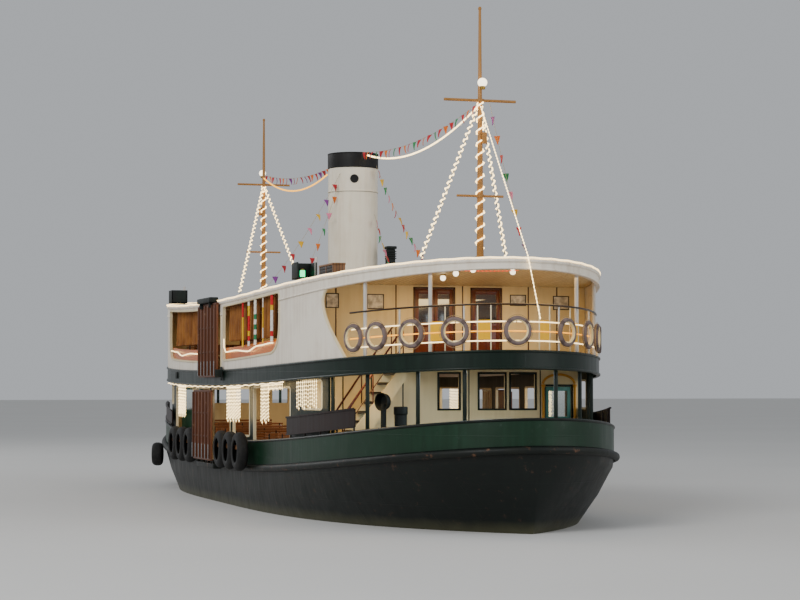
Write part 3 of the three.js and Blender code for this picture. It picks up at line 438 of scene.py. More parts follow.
def outline(plan, start=0.0, stop=4.0, count=200):
    """Points and normals round a plan. Quarters run 0 to 1 starboard end 1, 1 to 2 port end 1, and so on."""
    def at(q):
        share, side = round_the_ship(q / 4)
        return Vector((share * plan[0], side * half_breadth(plan, share * plan[0])))
    line = []
    for i in range(count + 1):
        q = start + (stop - start) * i / count
        tangent = (at(q + 1e-3) - at(q - 1e-3)).normalized()
        line.append((tuple(at(q)), (tangent.y, -tangent.x)))
    return line


def quarter_of(plan, x):
    """The place of x on the starboard quarter of end 1, as outline() counts it."""
    return 1 - math.sqrt(max(0.0, 1 - x / plan[0]))


def lifted(level, rise):
    return (level[0] + rise, level[1])


def round_section(out, low, high, level, steps=10, flat=0.0):
    """A half-round section that stands out from flat to out, between two heights over a level."""
    middle, half = (low + high) / 2, (high - low) / 2
    points = []
    for i in range(steps + 1):
        a = -math.pi / 2 + math.pi * i / steps
        points.append((flat + (out - flat) * math.cos(a) ** 0.6, lifted(level, middle + half * math.sin(a))))
    return [(0.0, lifted(level, low))] + points + [(0.0, lifted(level, high))]


STRAKE_PAINT = weathered_paint("strake_enamel_worn_to_rust", "070e0a", "14180f", 0.5, 0.8, None, 0.5,
                               "6b4a35")
LANDING = {"half": 1.3, "inner": 4.53, "outer": 4.80, "low": 1.085, "top": 1.245}
strake = swept("belt", outline(HULL_PLAN, 0, 4, 240), round_section(0.13, -0.21, -0.02, MAIN_DECK))
landings = []
for side in (-1, 1):
    half, inner, outer = LANDING["half"], side * LANDING["inner"], side * LANDING["outer"]
    landings.append(beam("landing", (-half, inner, LANDING["low"]), (half, outer, LANDING["top"]), 0.03, 4))
    for x in (-1.15, -0.4, 0.4, 1.15):
        landings.append(beam("lug", (x - 0.03, side * 4.70, LANDING["top"] - 0.01),
                             (x + 0.03, side * 4.79, 1.31), 0.01))
strake = tidy_join("rubbing_strake_belt", strake, *landings)
fit(strake, STRAKE_PAINT, "strake_paint", replaces=["rubbing_strake"])


# Bulwark: one plate run round each end from gangway to gangway, with a rolled cap rail, stiffening
# brackets inside and a bare board on stanchions along each side of the open end. Gloss green.
GREEN = weathered_paint("gloss_green_enamel", "0c2a18", "143a26", 0.36, 0.5, (2.4, 0.8), 0.5, "24382c")
CAP_GREEN = weathered_paint("dark_green_rail_enamel", "08120d", "121e18", 0.35, 0.5)
BULWARK_TOP = (1.96, 0.0031)
GANGWAY_GAP = 1.36
BOARD = {"from": 8.3, "to": 12.7, "foot": 0.11, "head": 0.58}

def plate_section(outer, inner, low, high):
    """The section of a plate on edge: its two faces as distances outward, and two levels."""
    return [(outer, low), (outer, high), (inner, high), (inner, low)]


def full_circle(steps):
    """Angles round a circle, the last one short of a whole turn."""
    return [i * math.tau / steps for i in range(steps)]


gap = quarter_of(HULL_PLAN, GANGWAY_GAP)
round_end = outline(HULL_PLAN, gap, 2 - gap, 150)
plate = swept("plate", round_end, plate_section(-0.02, -0.08, lifted(MAIN_DECK, 0.003), BULWARK_TOP),
              closed=False)
cap_section = [(-0.05 + 0.06 * math.cos(a), lifted(BULWARK_TOP, -0.02 + 0.04 * math.sin(a)))
               for a in full_circle(12)]
cap = swept("bulwark_cap_rail_1", round_end, cap_section, closed=False)


def repeated(name, model, places, kinds=None):
    """One model copied to many places and joined as one mesh; kinds picks each copy's material slot."""
    mesh = model.data
    corner = np.empty(len(mesh.vertices) * 3)
    mesh.vertices.foreach_get("co", corner)
    corner = np.hstack([corner.reshape(-1, 3), np.ones((len(mesh.vertices), 1))])
    faces = [tuple(face.vertices) for face in mesh.polygons]
    smooth = [face.use_smooth for face in mesh.polygons]
    points, every = [], []
    for i, place in enumerate(places):
        points.append((corner @ np.array(place.transposed()))[:, :3])
        every += [tuple(v + i * len(corner) for v in face) for face in faces]
    made = bpy.data.meshes.new(name)
    made.from_pydata(np.vstack(points).tolist(), [], every)
    made.polygons.foreach_set("use_smooth", smooth * len(places))
    if kinds:
        made.polygons.foreach_set("material_index", [kind for kind in kinds for _ in faces])
    made.update()
    piece = bpy.data.objects.new(name, made)
    bpy.context.collection.objects.link(piece)
    bpy.data.objects.remove(model)
    return piece


def facing(point, normal, z=0.0):
    """Where a piece modelled at the origin, with +X outward, stands on a line at a height."""
    return Matrix.Translation((point[0], point[1], z)) @ Matrix.Rotation(math.atan2(normal[1], normal[0]), 4,
                                                                         "Z")


bracket = beam("bracket", (-0.2, -0.01, 0.0), (-0.075, 0.01, 0.6), 0.004)
for vertex in bracket.data.vertices:
    if vertex.co.z > 0.3 and vertex.co.x < -0.15:
        vertex.co.x = -0.09
bracket_line = outline(HULL_PLAN, gap + 0.05, 1.95 - gap, 26)
brackets = repeated("brackets", bracket, [facing(p, n, height(MAIN_DECK, p[0])) for p, n in bracket_line])
bulwark = tidy_join("bulwark_plating_1", plate, brackets)


def side_points(plan, x0, x1, count):
    """Points and normals along the starboard side of end 1, between two distances from amidships."""
    return outline(plan, quarter_of(plan, x0), quarter_of(plan, x1), count)


board_line = side_points(HULL_PLAN, BOARD["from"], BOARD["to"], 40)
board_foot, board_head = lifted(BULWARK_TOP, BOARD["foot"]), lifted(BULWARK_TOP, BOARD["head"])
board = swept("board", board_line, plate_section(-0.03, -0.07, board_foot, board_head), closed=False)
rims = [swept("rim", board_line, round_section(-0.018, -0.02, 0.02, level, 6, -0.05), closed=False)
        for level in (board_foot, board_head)]
stanchion = pole("stanchion", (-0.085, 0.0, -0.03), (-0.085, 0.0, 0.56), 0.024, sides=12)
stanchions = repeated("stanchions", stanchion, [facing(p, n, height(BULWARK_TOP, p[0]))
                                                for p, n in side_points(HULL_PLAN, 8.5, 12.6, 4)])
name_board = tidy_join("bulwark_board", board, *rims, stanchions)
BOARD_PAINT = weathered_paint("dark_brown_board_enamel", "1a0b07", "2a130c", 0.4, 0.5)

HALF_TURN = Matrix.Rotation(math.pi, 4, "Z")
OTHER_SIDE = Matrix.Scale(-1, 4, (0.0, 1.0, 0.0))
OTHER_END = Matrix.Scale(-1, 4, (1.0, 0.0, 0.0))
IN_PLACE = Matrix.Identity(4)


def turned_copy(piece, name, move):
    """A copy with its own mesh, turned for the other end or mirrored for the other side."""
    copy = piece.copy()
    copy.data = piece.data.copy()
    copy.name = copy.data.name = name
    bpy.context.collection.objects.link(copy)
    copy.data.transform(move)
    if move.determinant() < 0:
        copy.data.flip_normals()
    return copy


def fit_pair(piece, material, slot=None, stands_for=None, body=None, move=HALF_TURN):
    """Fits a piece named _1 or _starboard and a copy named _2 or _port; %s in a name is that ending."""
    stem, own = piece.name.rsplit("_", 1)
    other = {"1": "2", "starboard": "port"}[own]
    port = turned_copy(piece, stem + "_port", move) if other == "port" else None
    for tag in (own, other):
        # A copy for end 2 is made once its piece is fitted
        shown = piece if tag == own else port or turned_copy(piece, stem + "_2", move)
        fit(shown, material, slot, body % tag if body else "root", [stands_for % tag] if stands_for else ())


def fit_four(piece, material, slot=None, stands_for=None, far_end=HALF_TURN):
    """Fits a copy of a piece at each end of each side, and removes the piece. far_end takes it from end 1
    to end 2; material may be a pair, for starboard and port."""
    materials = material if isinstance(material, tuple) else (material, material)
    for end, turn in ((1, IN_PLACE), (2, far_end)):
        for side, mirror, finish in zip(("starboard", "port"), (IN_PLACE, OTHER_SIDE), materials):
            tag = "_%s_%d" % (side, end)
            fit(turned_copy(piece, piece.name + tag, turn @ mirror), finish, slot,
                replaces=[stands_for + tag] if stands_for else ())
    bpy.data.objects.remove(piece)


fit_pair(bulwark, GREEN, "green_paint", "bulwark_%s")
fit_pair(cap, CAP_GREEN, "green_paint")
fit_four(name_board, BOARD_PAINT, "varnished_wood")


# Upper deck: a steel slab with a teak top and white painted underside, and a deep dark green band
# bolted round its edge, with a half-round lip along its foot and head.
UPPER_DECK = (4.04, 0.0018)
UPPER_DECK_LOW = (3.90, 0.0018)
BAND_LOW = (3.62, 0.0018)
BAND_TOP = (4.11, 0.0018)
CREAM = weathered_paint("cream_enamel", "e9d9a6", "cfba84", 0.42, 0.45)
CEILING = weathered_paint("white_ceiling_enamel", "efe9d8", "d8cfb8", 0.5, 0.35)
BAND_PAINT = weathered_paint("band_dark_green_enamel", "091a12", "12291e", 0.32, 0.5, (1.9, 2.0), 0.35)

house_line = outline(HOUSE_PLAN, 0, 4, 240)
band = swept("deck_edge_band", house_line, plate_section(0.0, -0.075, BAND_LOW, BAND_TOP))
lips = [swept("lip", house_line, round_section(0.035, r - 0.03, r + 0.03, level, 6))
        for level, r in ((BAND_LOW, 0.03), (BAND_TOP, -0.035))]
band = tidy_join("deck_edge_band", band, *lips)
fit(band, BAND_PAINT, "green_paint", replaces=["upper_deck_band_1", "upper_deck_band_2"])

WELL = ((9.86, -3.51, 3.0), (11.09, -1.59, 5.5))


def cut_with(piece, *cutters):
    """Cuts pieces out of another and removes them."""
    for cutter in cutters:
        bpy.ops.object.select_all(action="DESELECT")
        bpy.context.view_layer.objects.active = piece
        piece.select_set(True)
        cutting = piece.modifiers.new("cut", "BOOLEAN")
        cutting.operation, cutting.solver, cutting.object = "DIFFERENCE", "EXACT", cutter
        bpy.ops.object.modifier_apply(modifier=cutting.name)
        bpy.data.objects.remove(cutter)
    bpy.ops.object.shade_smooth_by_angle(angle=math.radians(30))
    return piece


def wells():
    """The two openings over the stairs, as pieces to cut with."""
    one = beam("well", *WELL, edge=0.03)
    return [one, turned_copy(one, "well_2", HALF_TURN)]


def slab_place(u, v):
    """The underside for the first half of v, the top for the second."""
    return crowned(HOUSE_PLAN, UPPER_DECK_LOW if v < 0.5 else UPPER_DECK, 0.0753)(u,
                                                                                  min(1.0, 2 * min(v, 1 - v)))


slab = cut_with(sheet_of_points("slab", 200, 10, slab_place), *wells())
slab.name = slab.data.name = "upper_deck_slab"
fit(slab, CEILING, "dark_paint", replaces=["upper_deck"])
upper_planks = sheet_of_points("upper_deck_planking", 160, 20,
                               crowned((15.1, 4.47), lifted(UPPER_DECK, 0.004)))
upper_planks = cut_with(thickened(upper_planks, 0.012, -1.0), *wells())
fit(upper_planks, TEAK, "dark_paint")


# Roof: steel sheet on beams, cambered both ways and painted matt stone colour, with a ceiling of
# narrow cream boards below and a deep white fascia with a rounded top edge hung round it.
ROOF_LOW = (6.148, 0.0026)
ROOF_EDGE = (6.19, 0.0026)
FASCIA_LOW = (5.76, 0.0034)
ROOF_CAMBER = 0.38
ROOF_PAINT = weathered_paint("matt_stone_roof_paint", "c2b8a4", "9f9481", 0.7, 0.7, (1.4, 0.9), 0.3, "8d8270")
WHITE = weathered_paint("warm_white_enamel", "efe6d6", "c6b29a", 0.38, 0.5, (2.2, 3.0), 0.3)


def roof_place(u, v):
    share, side = round_the_ship(u)
    reach = 1 - v
    x = share * HOUSE_PLAN[0] * (0.5 + reach / 2)
    y = side * half_breadth(HOUSE_PLAN, share * HOUSE_PLAN[0]) * reach
    return x, y, height(ROOF_EDGE, x) + ROOF_CAMBER * (1 - reach ** 2)


def roof_with_ceiling(u, v):
    if v < 0.08:
        share, side = round_the_ship(u)
        x = share * HOUSE_PLAN[0]
        return x, side * half_breadth(HOUSE_PLAN, x), height(ROOF_LOW, x)
    return roof_place(u, (v - 0.08) / 0.92)


roof = sheet_of_points("roof_sheeting", 200, 25, roof_with_ceiling)
roof_under = sheet_of_points("roof_under", 200, 12, crowned(HOUSE_PLAN, ROOF_LOW))
roof = tidy_join("roof_sheeting", roof, roof_under)
bpy.ops.object.mode_set(mode="EDIT")
bpy.ops.mesh.select_all(action="SELECT")
bpy.ops.mesh.remove_doubles(threshold=0.002)
bpy.ops.mesh.normals_make_consistent(inside=False)
bpy.ops.object.mode_set(mode="OBJECT")
bpy.ops.object.shade_smooth_by_angle(angle=math.radians(38))
fit(roof, ROOF_PAINT, "roof_paint", replaces=["roof"])

fascia = swept("roof_fascia_boarding", house_line,
               plate_section(0.0, -0.08, FASCIA_LOW, lifted(ROOF_LOW, -0.001)))
gutter = swept("gutter", house_line, round_section(0.045, 0.0, 0.1, lifted(ROOF_EDGE, -0.075), 8))
foot_moulding = swept("moulding", house_line, round_section(0.03, 0.0, 0.05, FASCIA_LOW, 6))

ceiling = sheet_of_points("saloon_ceiling_boards", 160, 16, crowned((15.1, 4.48), lifted(ROOF_LOW, -0.012)))
CEILING_BOARDS = planked_wood("cream_ceiling_boards", "efe2b8", "e6d6a6", 0.14, 4.0, 0.45)
fit(thickened(ceiling, 0.008, -1.0), CEILING_BOARDS, "cream_paint")


# Main deck side walls: steel plating with large openings, painted dark green outside, with a half-round
# moulding round each opening.
MAIN_WALL_PLAN = (15.9, 4.27)
MAIN_WALL_HALF = 10.85
# Columns: from, to, sill over the deck amidships, head
MAIN_OPENINGS = [(1.75, 3.90, 2.15, 3.52), (4.45, 8.15, 1.29, 3.52), (9.15, 10.45, 2.75, 3.60)]
MAIN_DOORWAY = (1.3, 1.31, 3.50)
WALL_GREEN = weathered_paint("dark_green_wall_enamel", "0a1a11", "13281c", 0.38, 0.5, (1.8, 1.4), 0.3)
FRAME_PAINT = weathered_paint("cream_frame_enamel", "e4d6b0", "c2ae84", 0.4, 0.5)


def side_wall(name, plan, half, section):
    """A wall along the starboard side from end to end."""
    q = quarter_of(plan, half)
    line = outline(plan, -q, q, 180)
    return swept(name, line, section, closed=False)


def prism(name, shape, low, high):
    """A flat shape in length and height, given thickness across the ship."""
    bpy.ops.object.select_all(action="DESELECT")
    bpy.ops.mesh.primitive_circle_add(vertices=len(shape), radius=1.0, fill_type="NGON")
    piece = bpy.context.object
    piece.name = piece.data.name = name
    for vertex, (x, z) in zip(piece.data.vertices, shape):
        vertex.co = (x, low, z)
    bpy.ops.object.mode_set(mode="EDIT")
    bpy.ops.mesh.select_all(action="SELECT")
    bpy.ops.mesh.extrude_region_move(TRANSFORM_OT_translate={"value": (0.0, high - low, 0.0)})
    bpy.ops.mesh.select_all(action="SELECT")
    bpy.ops.mesh.normals_make_consistent(inside=False)
    bpy.ops.object.mode_set(mode="OBJECT")
    return piece


def moulding_round(name, plan, shape, out=0.012, width=0.05, inside=0.07):
    """A frame round an opening in a side wall: shape is its edge in length and height, closed."""
    count = len(shape)
    centre = Vector((sum(p[0] for p in shape) / count, sum(p[1] for p in shape) / count))
    profile = [(-0.006, out), (width, out), (width + 0.006, 0.004), (width, -inside), (-0.006, -inside)]

    def place(u, v):
        i = round(u * count) % count
        before, here, after = (Vector(shape[(i + k) % count]) for k in (-1, 0, 1))
        tangent = (after - before).normalized()
        normal = Vector((tangent.y, -tangent.x))
        if normal.dot(here - centre) < 0:
            normal.negate()
        grow, away = profile[round(v * len(profile)) % len(profile)]
        x, z = here + normal * grow
        return x, -half_breadth(plan, x) - away, z
    return sheet_of_points(name, count, len(profile), place)


def box_shape(x0, x1, z0, z1, turn=0.06, steps=4):
    """An opening with its corners rounded, as points in length and height."""
    points = []
    for cx, cz, start in ((x1 - turn, z1 - turn, 0), (x0 + turn, z1 - turn, 90), (x0 + turn, z0 + turn, 180),
                          (x1 - turn, z0 + turn, 270)):
        for i in range(steps + 1):
            a = math.radians(start + 90 * i / steps)
            points.append((cx + turn * math.cos(a), cz + turn * math.sin(a)))
    dense = []
    for a, b in zip(points, points[1:] + points[:1]):
        n = max(1, round(math.dist(a, b) / 0.35))
        dense += [(a[0] + (b[0] - a[0]) * k / n, a[1] + (b[1] - a[1]) * k / n) for k in range(n)]
    return dense


def both_halves(pieces):
    """Pieces of a side at end 1, and the same mirrored to end 2."""
    return pieces + [turned_copy(piece, "aft", OTHER_END) for piece in pieces]


main_wall = side_wall("main_deck_side_wall_starboard", MAIN_WALL_PLAN, MAIN_WALL_HALF, plate_section(
    0.0, -0.06, lifted(MAIN_DECK, 0.002), lifted(UPPER_DECK_LOW, -0.002)))
main_shapes = [box_shape(x0, x1, height((z0, 0.0032), x0), height((z1, 0.0018), x0))
               for x0, x1, z0, z1 in MAIN_OPENINGS]
half, foot, head = MAIN_DOORWAY
doorway = box_shape(-half, half, foot, head)
cutters = []
for shape in main_shapes:
    cutters += both_halves([prism("opening", shape, -5.0, -3.0)])
main_wall = cut_with(main_wall, *cutters, prism("doorway", doorway, -5.0, -3.0))
mouldings = both_halves([moulding_round("frame", MAIN_WALL_PLAN, shape) for shape in main_shapes])
main_frames = tidy_join("main_deck_opening_frames_starboard", *mouldings,
                        moulding_round("door_frame", MAIN_WALL_PLAN, doorway))
fit_pair(main_wall, WALL_GREEN, "green_paint", "main_side_wall_%s", move=OTHER_SIDE)
fit_pair(main_frames, FRAME_PAINT, "cream_paint", move=OTHER_SIDE)


# Upper deck side walls: white enamelled steel with long saloon windows, rounded at the outer lower
# corner, and a D-shaped edge at each open end, all bound with a rolled steel moulding.
UPPER_WALL_HALF = 11.9
UPPER_WINDOW = {"from": 1.65, "to": 7.95, "foot": (4.40, 0.003), "head": (6.015, 0.003), "round": 0.8,
                "small": 0.12}
UPPER_DOORWAY = (1.3, 4.13, 5.83)


def curve(start, bend, stop, steps=8):
    """Points along a quadratic curve, without its last."""
    return [tuple((1 - t) ** 2 * a + 2 * t * (1 - t) * b + t * t * c for a, b, c in zip(start, bend, stop))
            for t in [i / steps for i in range(steps)]]


def along(level, start, stop, steps=12):
    """Points along a level line, without its last."""
    xs = [start + (stop - start) * i / steps for i in range(steps)]
    return [(x, height(level, x)) for x in xs]


def long_window():
    """The edge of a long window: square corners eased, and one large round at the outer foot."""
    x0, x1, low, top = (UPPER_WINDOW[k] for k in ("from", "to", "foot", "head"))
    r, s = UPPER_WINDOW["round"], UPPER_WINDOW["small"]
    low0, low1, top0, top1 = height(low, x0), height(low, x1), height(top, x0), height(top, x1)
    points = along(low, x0 + s, x1 - r)
    points += curve((x1 - r, height(low, x1 - r)), (x1, low1), (x1, low1 + r), 12)
    points += [(x1, low1 + r)]
    points += curve((x1, top1 - s), (x1, top1), (x1 - s, height(top, x1 - s)), 4)
    points += along(top, x1 - s, x0 + s)
    points += curve((x0 + s, height(top, x0 + s)), (x0, top0), (x0, top0 - s), 4)
    points += [(x0, top0 - s - (top0 - low0 - 2 * s) * i / 3) for i in range(3)]
    points += curve((x0, low0 + s), (x0, low0), (x0 + s, height(low, x0 + s)), 4)
    return points


def rounded_end():
    points = [(13.0, 4.0), (11.9, 4.26), (11.52, 4.68)]
    points += curve((11.15, 5.1), (10.74, 5.6), (10.76, 5.9), 8)
    points += curve((10.76, 5.9), (10.85, 6.27), (11.4, 6.33), 8)
    return points + [(11.4, 6.33), (11.9, 6.38), (13.0, 6.42)]


upper_wall = side_wall("upper_deck_side_wall_starboard", HOUSE_PLAN, UPPER_WALL_HALF, plate_section(
    -0.01, -0.07, lifted(BAND_TOP, 0.002), lifted(FASCIA_LOW, -0.002)))
half, foot, head = UPPER_DOORWAY
doorway = box_shape(-half, half, foot, head)
cutters = both_halves([prism("window", long_window(), -5.2, -3.0), prism("end", rounded_end(), -5.2, -2.5)])
upper_wall = cut_with(upper_wall, *cutters, prism("doorway", doorway, -5.2, -3.0))
notched = []
for piece in (fascia, foot_moulding):
    window, aft = both_halves([prism("window", long_window(), -5.2, 5.2)])
    notch = prism("doorway", box_shape(-half, half, FASCIA_LOW[0] - 0.1, head), -5.2, 5.2)
    notched.append(cut_with(piece, window, notch, aft))
fascia = tidy_join("roof_fascia_boarding", *notched, gutter)
fit(fascia, WHITE, "white_paint", replaces=["roof_fascia"])
mouldings = both_halves([moulding_round("frame", HOUSE_PLAN, long_window(), 0.02, 0.045)])
mouldings.append(moulding_round("door_frame", HOUSE_PLAN, doorway, 0.014, 0.04))


def edge_bar(name, plan, shape, radius):
    """A rolled edge along an open line on a side wall."""
    def place(u, v):
        i = round(u * (len(shape) - 1))
        x, z = shape[i]
        before, after = Vector(shape[max(0, i - 1)]), Vector(shape[min(len(shape) - 1, i + 1)])
        tangent = (after - before).normalized()
        a = v * math.tau
        x, z = x + tangent.y * radius * math.cos(a), z - tangent.x * radius * math.cos(a)
        return x, -half_breadth(plan, x) + 0.04 + radius * math.sin(a), z
    piece = sheet_of_points(name, len(shape) - 1, 10, place)
    close_ends(piece)
    bpy.ops.object.shade_smooth_by_angle(angle=math.radians(40))
    return piece


rolled = both_halves([edge_bar("edge", HOUSE_PLAN, rounded_end()[1:-1], 0.038)])
upper_frames = tidy_join("upper_deck_opening_frames_starboard", *mouldings, *rolled)
fit_pair(upper_wall, WHITE, "white_paint", "upper_side_wall_%s", move=OTHER_SIDE)
fit_pair(upper_frames, FRAME_PAINT, "white_paint", move=OTHER_SIDE)


# End bulkheads: cream panelled steel across the ship at each end of the cabins, with battens over
# the joints, a skirting and wooden doors; the main deck one has window openings.
END_WALL_X, WALL = 9.6, 0.06
UPPER_SILL, MAIN_SILL = 0.06, 0.11
# Columns: from, to (across the ship), foot and head above the floor
UPPER_END_OPENINGS = [(-0.95, 0.15, UPPER_SILL, 2.06), (0.70, 1.52, UPPER_SILL, 2.06)]
MAIN_END_OPENINGS = [(-0.26, 0.31, 1.42, 2.37), (0.91, 1.65, 1.42, 2.37), (1.83, 2.54, 1.42, 2.37),
                     (2.85, 3.62, MAIN_SILL, 2.03)]


def end_bulkhead(name, floor, ceiling, half_width, openings, battens):
    """A cross wall with its openings cut and framed, for end 1."""
    x0, x1 = END_WALL_X, END_WALL_X + WALL
    wall = beam(name, (x0, -half_width, floor), (x1, half_width, ceiling), 0.004, 1)
    for y0, y1, low, high in openings:
        wall = cut_with(wall,
                        beam("cutter", (x0 - 0.1, y0, floor + low), (x1 + 0.1, y1, floor + high), 0.002, 1))
    wall.name = wall.data.name = name
    pieces = [beam("skirting", (x1 - 0.002, a, floor), (x1 + 0.014, b, floor + 0.14), 0.004)
              for a, b in gaps(half_width, [o for o in openings if o[2] < 0.2])]
    for y0, y1, low, high in openings:
        z0, z1 = floor + low, floor + high
        y_out, z_out = (y0 - 0.055, y1 + 0.055), (z0 - 0.05, z1 + 0.055)
        for ya, yb, za, zb in ((y_out[0], y0 + 0.002, *z_out), (y1 - 0.002, y_out[1], *z_out),
                               (*y_out, z1 - 0.002, z_out[1]), (*y_out, z_out[0], z0 + 0.002)):
            pieces.append(beam("architrave", (x1 - 0.002, ya, za), (x1 + 0.02, yb, zb), 0.006))
    for y in battens:
        pieces.append(beam("batten", (x1 - 0.002, y - 0.018, floor + 0.13), (x1 + 0.008, y + 0.018, ceiling),
                           0.004))
    return wall, pieces


def gaps(half_width, openings):
    """The stretches of a cross wall that have no opening at the floor."""
    edges = [-half_width]
    for y0, y1, _, _ in sorted(openings):
        edges += [y0 - 0.055, y1 + 0.055]
    edges.append(half_width)
    return list(zip(edges[::2], edges[1::2]))


HOUSE_SKIN, MAIN_SKIN = 0.093, 0.069
inner_upper = half_breadth(HOUSE_PLAN, END_WALL_X + WALL) - HOUSE_SKIN
inner_main = half_breadth(MAIN_WALL_PLAN, END_WALL_X + WALL) - MAIN_SKIN
UPPER_FLOOR = height(UPPER_DECK, END_WALL_X + WALL) + 0.008
MAIN_FLOOR = height(MAIN_DECK, END_WALL_X + WALL) + 0.008
upper_bulkhead, upper_trim = end_bulkhead("upper_end_bulkhead_1", UPPER_FLOOR,
                                          height(ROOF_LOW, END_WALL_X) - 0.015,
                                          inner_upper, UPPER_END_OPENINGS,
                                          (-3.2, -2.35, -1.5, 0.42, 2.35, 3.2))
main_bulkhead, main_trim = end_bulkhead("main_end_bulkhead_1", MAIN_FLOOR,
                                        height(UPPER_DECK_LOW, END_WALL_X) - 0.004,
                                        inner_main, MAIN_END_OPENINGS, (-3.0, -2.2, -1.3, 0.6, 2.7))
PANEL_CREAM = weathered_paint("satin_cream_panel_paint", "efdfae", "d8c48e", 0.45, 0.45)
TRIM_BROWN = planked_wood("dark_varnished_trim", "4a2416", "3a1c11", 0.2, 2.0, 0.35, math.pi / 2)
fit_pair(upper_bulkhead, PANEL_CREAM, "cream_paint", "upper_end_wall_%s")
fit_pair(tidy_join("upper_end_bulkhead_trim_1", *upper_trim), TRIM_BROWN, "varnished_wood")
fit_pair(main_bulkhead, PANEL_CREAM, "cream_paint", "main_end_wall_%s")
fit_pair(tidy_join("main_end_bulkhead_trim_1", *main_trim), WALL_GREEN, "green_paint")


# Doors: hardwood stiles and rails with a fielded lower panel and a pane above, brass handle and
# kick plate; mahogany varnish on the upper deck and sea-green paint on the main deck.
def glazing():
    """Thin toughened glass with a trace of dirt."""
    material, place = new_material("toughened_pane_glass")
    return shaded(material, {"Roughness": ranged(material, noise(material, place, 3.0, 6.0), 0.02, 0.14),
                             "Base Color": linear("eaf2ee"), "Transmission Weight": 1.0, "IOR": 1.46})


def copper_alloy(name, scale, detail, dark, light, smooth, rough):
    """Brass or bronze, bright where it is polished and dulled in patches."""
    material, place = new_material(name)
    patches = noise(material, place, scale, detail)
    return shaded(material, {"Base Color": toned(material, patches, dark, light), "Metallic": 1.0,
                             "Roughness": ranged(material, patches, smooth, rough)})


MAHOGANY = planked_wood("varnished_mahogany", "6e321b", "5c2715", 0.4, 3.0, 0.28, math.pi / 2)
TEAL = weathered_paint("sea_green_door_enamel", "4f9187", "6a9f94", 0.35, 0.5)
GLASS = glazing()
BRASS = copper_alloy("dulled_brass", 14.0, 5.0, "8a6a2c", "c9a252", 0.22, 0.5)
DOOR_GAP = 0.008
# Columns: name, hinged edge, other edge, foot, head, wood, record's finish
DOORS = [
    ("saloon_door_starboard", -0.95, -0.40, UPPER_FLOOR + UPPER_SILL, UPPER_FLOOR + 2.06, MAHOGANY,
     "varnished_wood"),
    ("saloon_door_port", 0.15, -0.40, UPPER_FLOOR + UPPER_SILL, UPPER_FLOOR + 2.06, MAHOGANY,
     "varnished_wood"),
    ("cabin_door", 1.52, 0.70, UPPER_FLOOR + UPPER_SILL, UPPER_FLOOR + 2.06, MAHOGANY, "varnished_wood"),
    ("main_deck_door", 3.62, 2.85, MAIN_FLOOR + MAIN_SILL, MAIN_FLOOR + 2.03, TEAL, "teal_paint"),
]


def door_leaf(name, hinge, edge, foot, head):
    """Joinery, pane and brass of one door, for end 1."""
    y0, y1 = min(hinge, edge) + DOOR_GAP, max(hinge, edge) - DOOR_GAP
    x0, x1 = END_WALL_X + DOOR_GAP, END_WALL_X + WALL - DOOR_GAP
    z0, z1 = foot + DOOR_GAP, head - DOOR_GAP
    stile, mid = 0.1, z0 + 0.95
    wood = [beam("stile", (x0, y0, z0), (x1, y0 + stile, z1), 0.005),
            beam("stile", (x0, y1 - stile, z0), (x1, y1, z1), 0.005)]
    for low, high in ((z0, z0 + 0.2), (mid, mid + 0.12), (z1 - 0.12, z1)):
        wood.append(beam("rail", (x0, y0 + stile - 0.004, low), (x1, y1 - stile + 0.004, high), 0.004))
    wood.append(beam("panel", (x0 + 0.014, y0 + stile - 0.01, z0 + 0.19),
                     (x1 - 0.014, y1 - stile + 0.01, mid + 0.01), 0.003))
    wood.append(beam("field", (x0 + 0.006, y0 + stile + 0.06, z0 + 0.26),
                     (x1 - 0.006, y1 - stile - 0.06, mid - 0.06), 0.01))
    pane = beam(name + "_pane", (x0 + 0.018, y0 + stile - 0.008, mid + 0.112),
                (x1 - 0.018, y1 - stile + 0.008, z1 - 0.112), 0.001, 1)
    turn = 1 if edge > hinge else -1
    grip = edge - turn * 0.06
    metal = [pole("spindle", (x0 - 0.002, grip, mid + 0.06), (x1 + 0.002, grip, mid + 0.06), 0.012),
             pole("lever", (x1 + 0.0, grip, mid + 0.06), (x1 + 0.0, grip - turn * 0.1, mid + 0.06), 0.006),
             beam("kick_plate", (x1 - 0.003, hinge + turn * 0.07, z0 + 0.01),
                  (x1 + 0.003, edge - turn * 0.03, z0 + 0.17), 0.001)]
    return tidy_join(name + "_joinery", *wood), pane, tidy_join(name + "_brass", *metal)


for name, hinge, edge, foot, head, wood, finish in DOORS:
    leaves = door_leaf(name, hinge, edge, foot, head)
    for end in (1, 2):
        body = "%s_%d" % (name, end)
        leaf, pane, metal = leaves if end == 1 else [turned_copy(piece, piece.name + "_2", HALF_TURN)
                                                     for piece in leaves]
        fit(leaf, wood, finish, body, [body])
        fit(pane, GLASS, None, body)
        fit(metal, BRASS, "bronze", body)


# Stairs: folded steel treads between plate stringers, cream, with dark red handrails on thin stanchions;
# they climb inboard across the open end.
STAIR = {"x0": 9.9, "x1": 11.05, "y_foot": -3.48, "y_head": -1.62, "steps": 10}
STAIR_RAIL = 0.82
RAIL_RED = weathered_paint("dark_red_handrail_enamel", "4a1a14", "3a1410", 0.3, 0.4)
TREAD = weathered_paint("chequered_tread_paint", "4c4a45", "6a655c", 0.6, 0.6, None, 0.0, "8a857a")


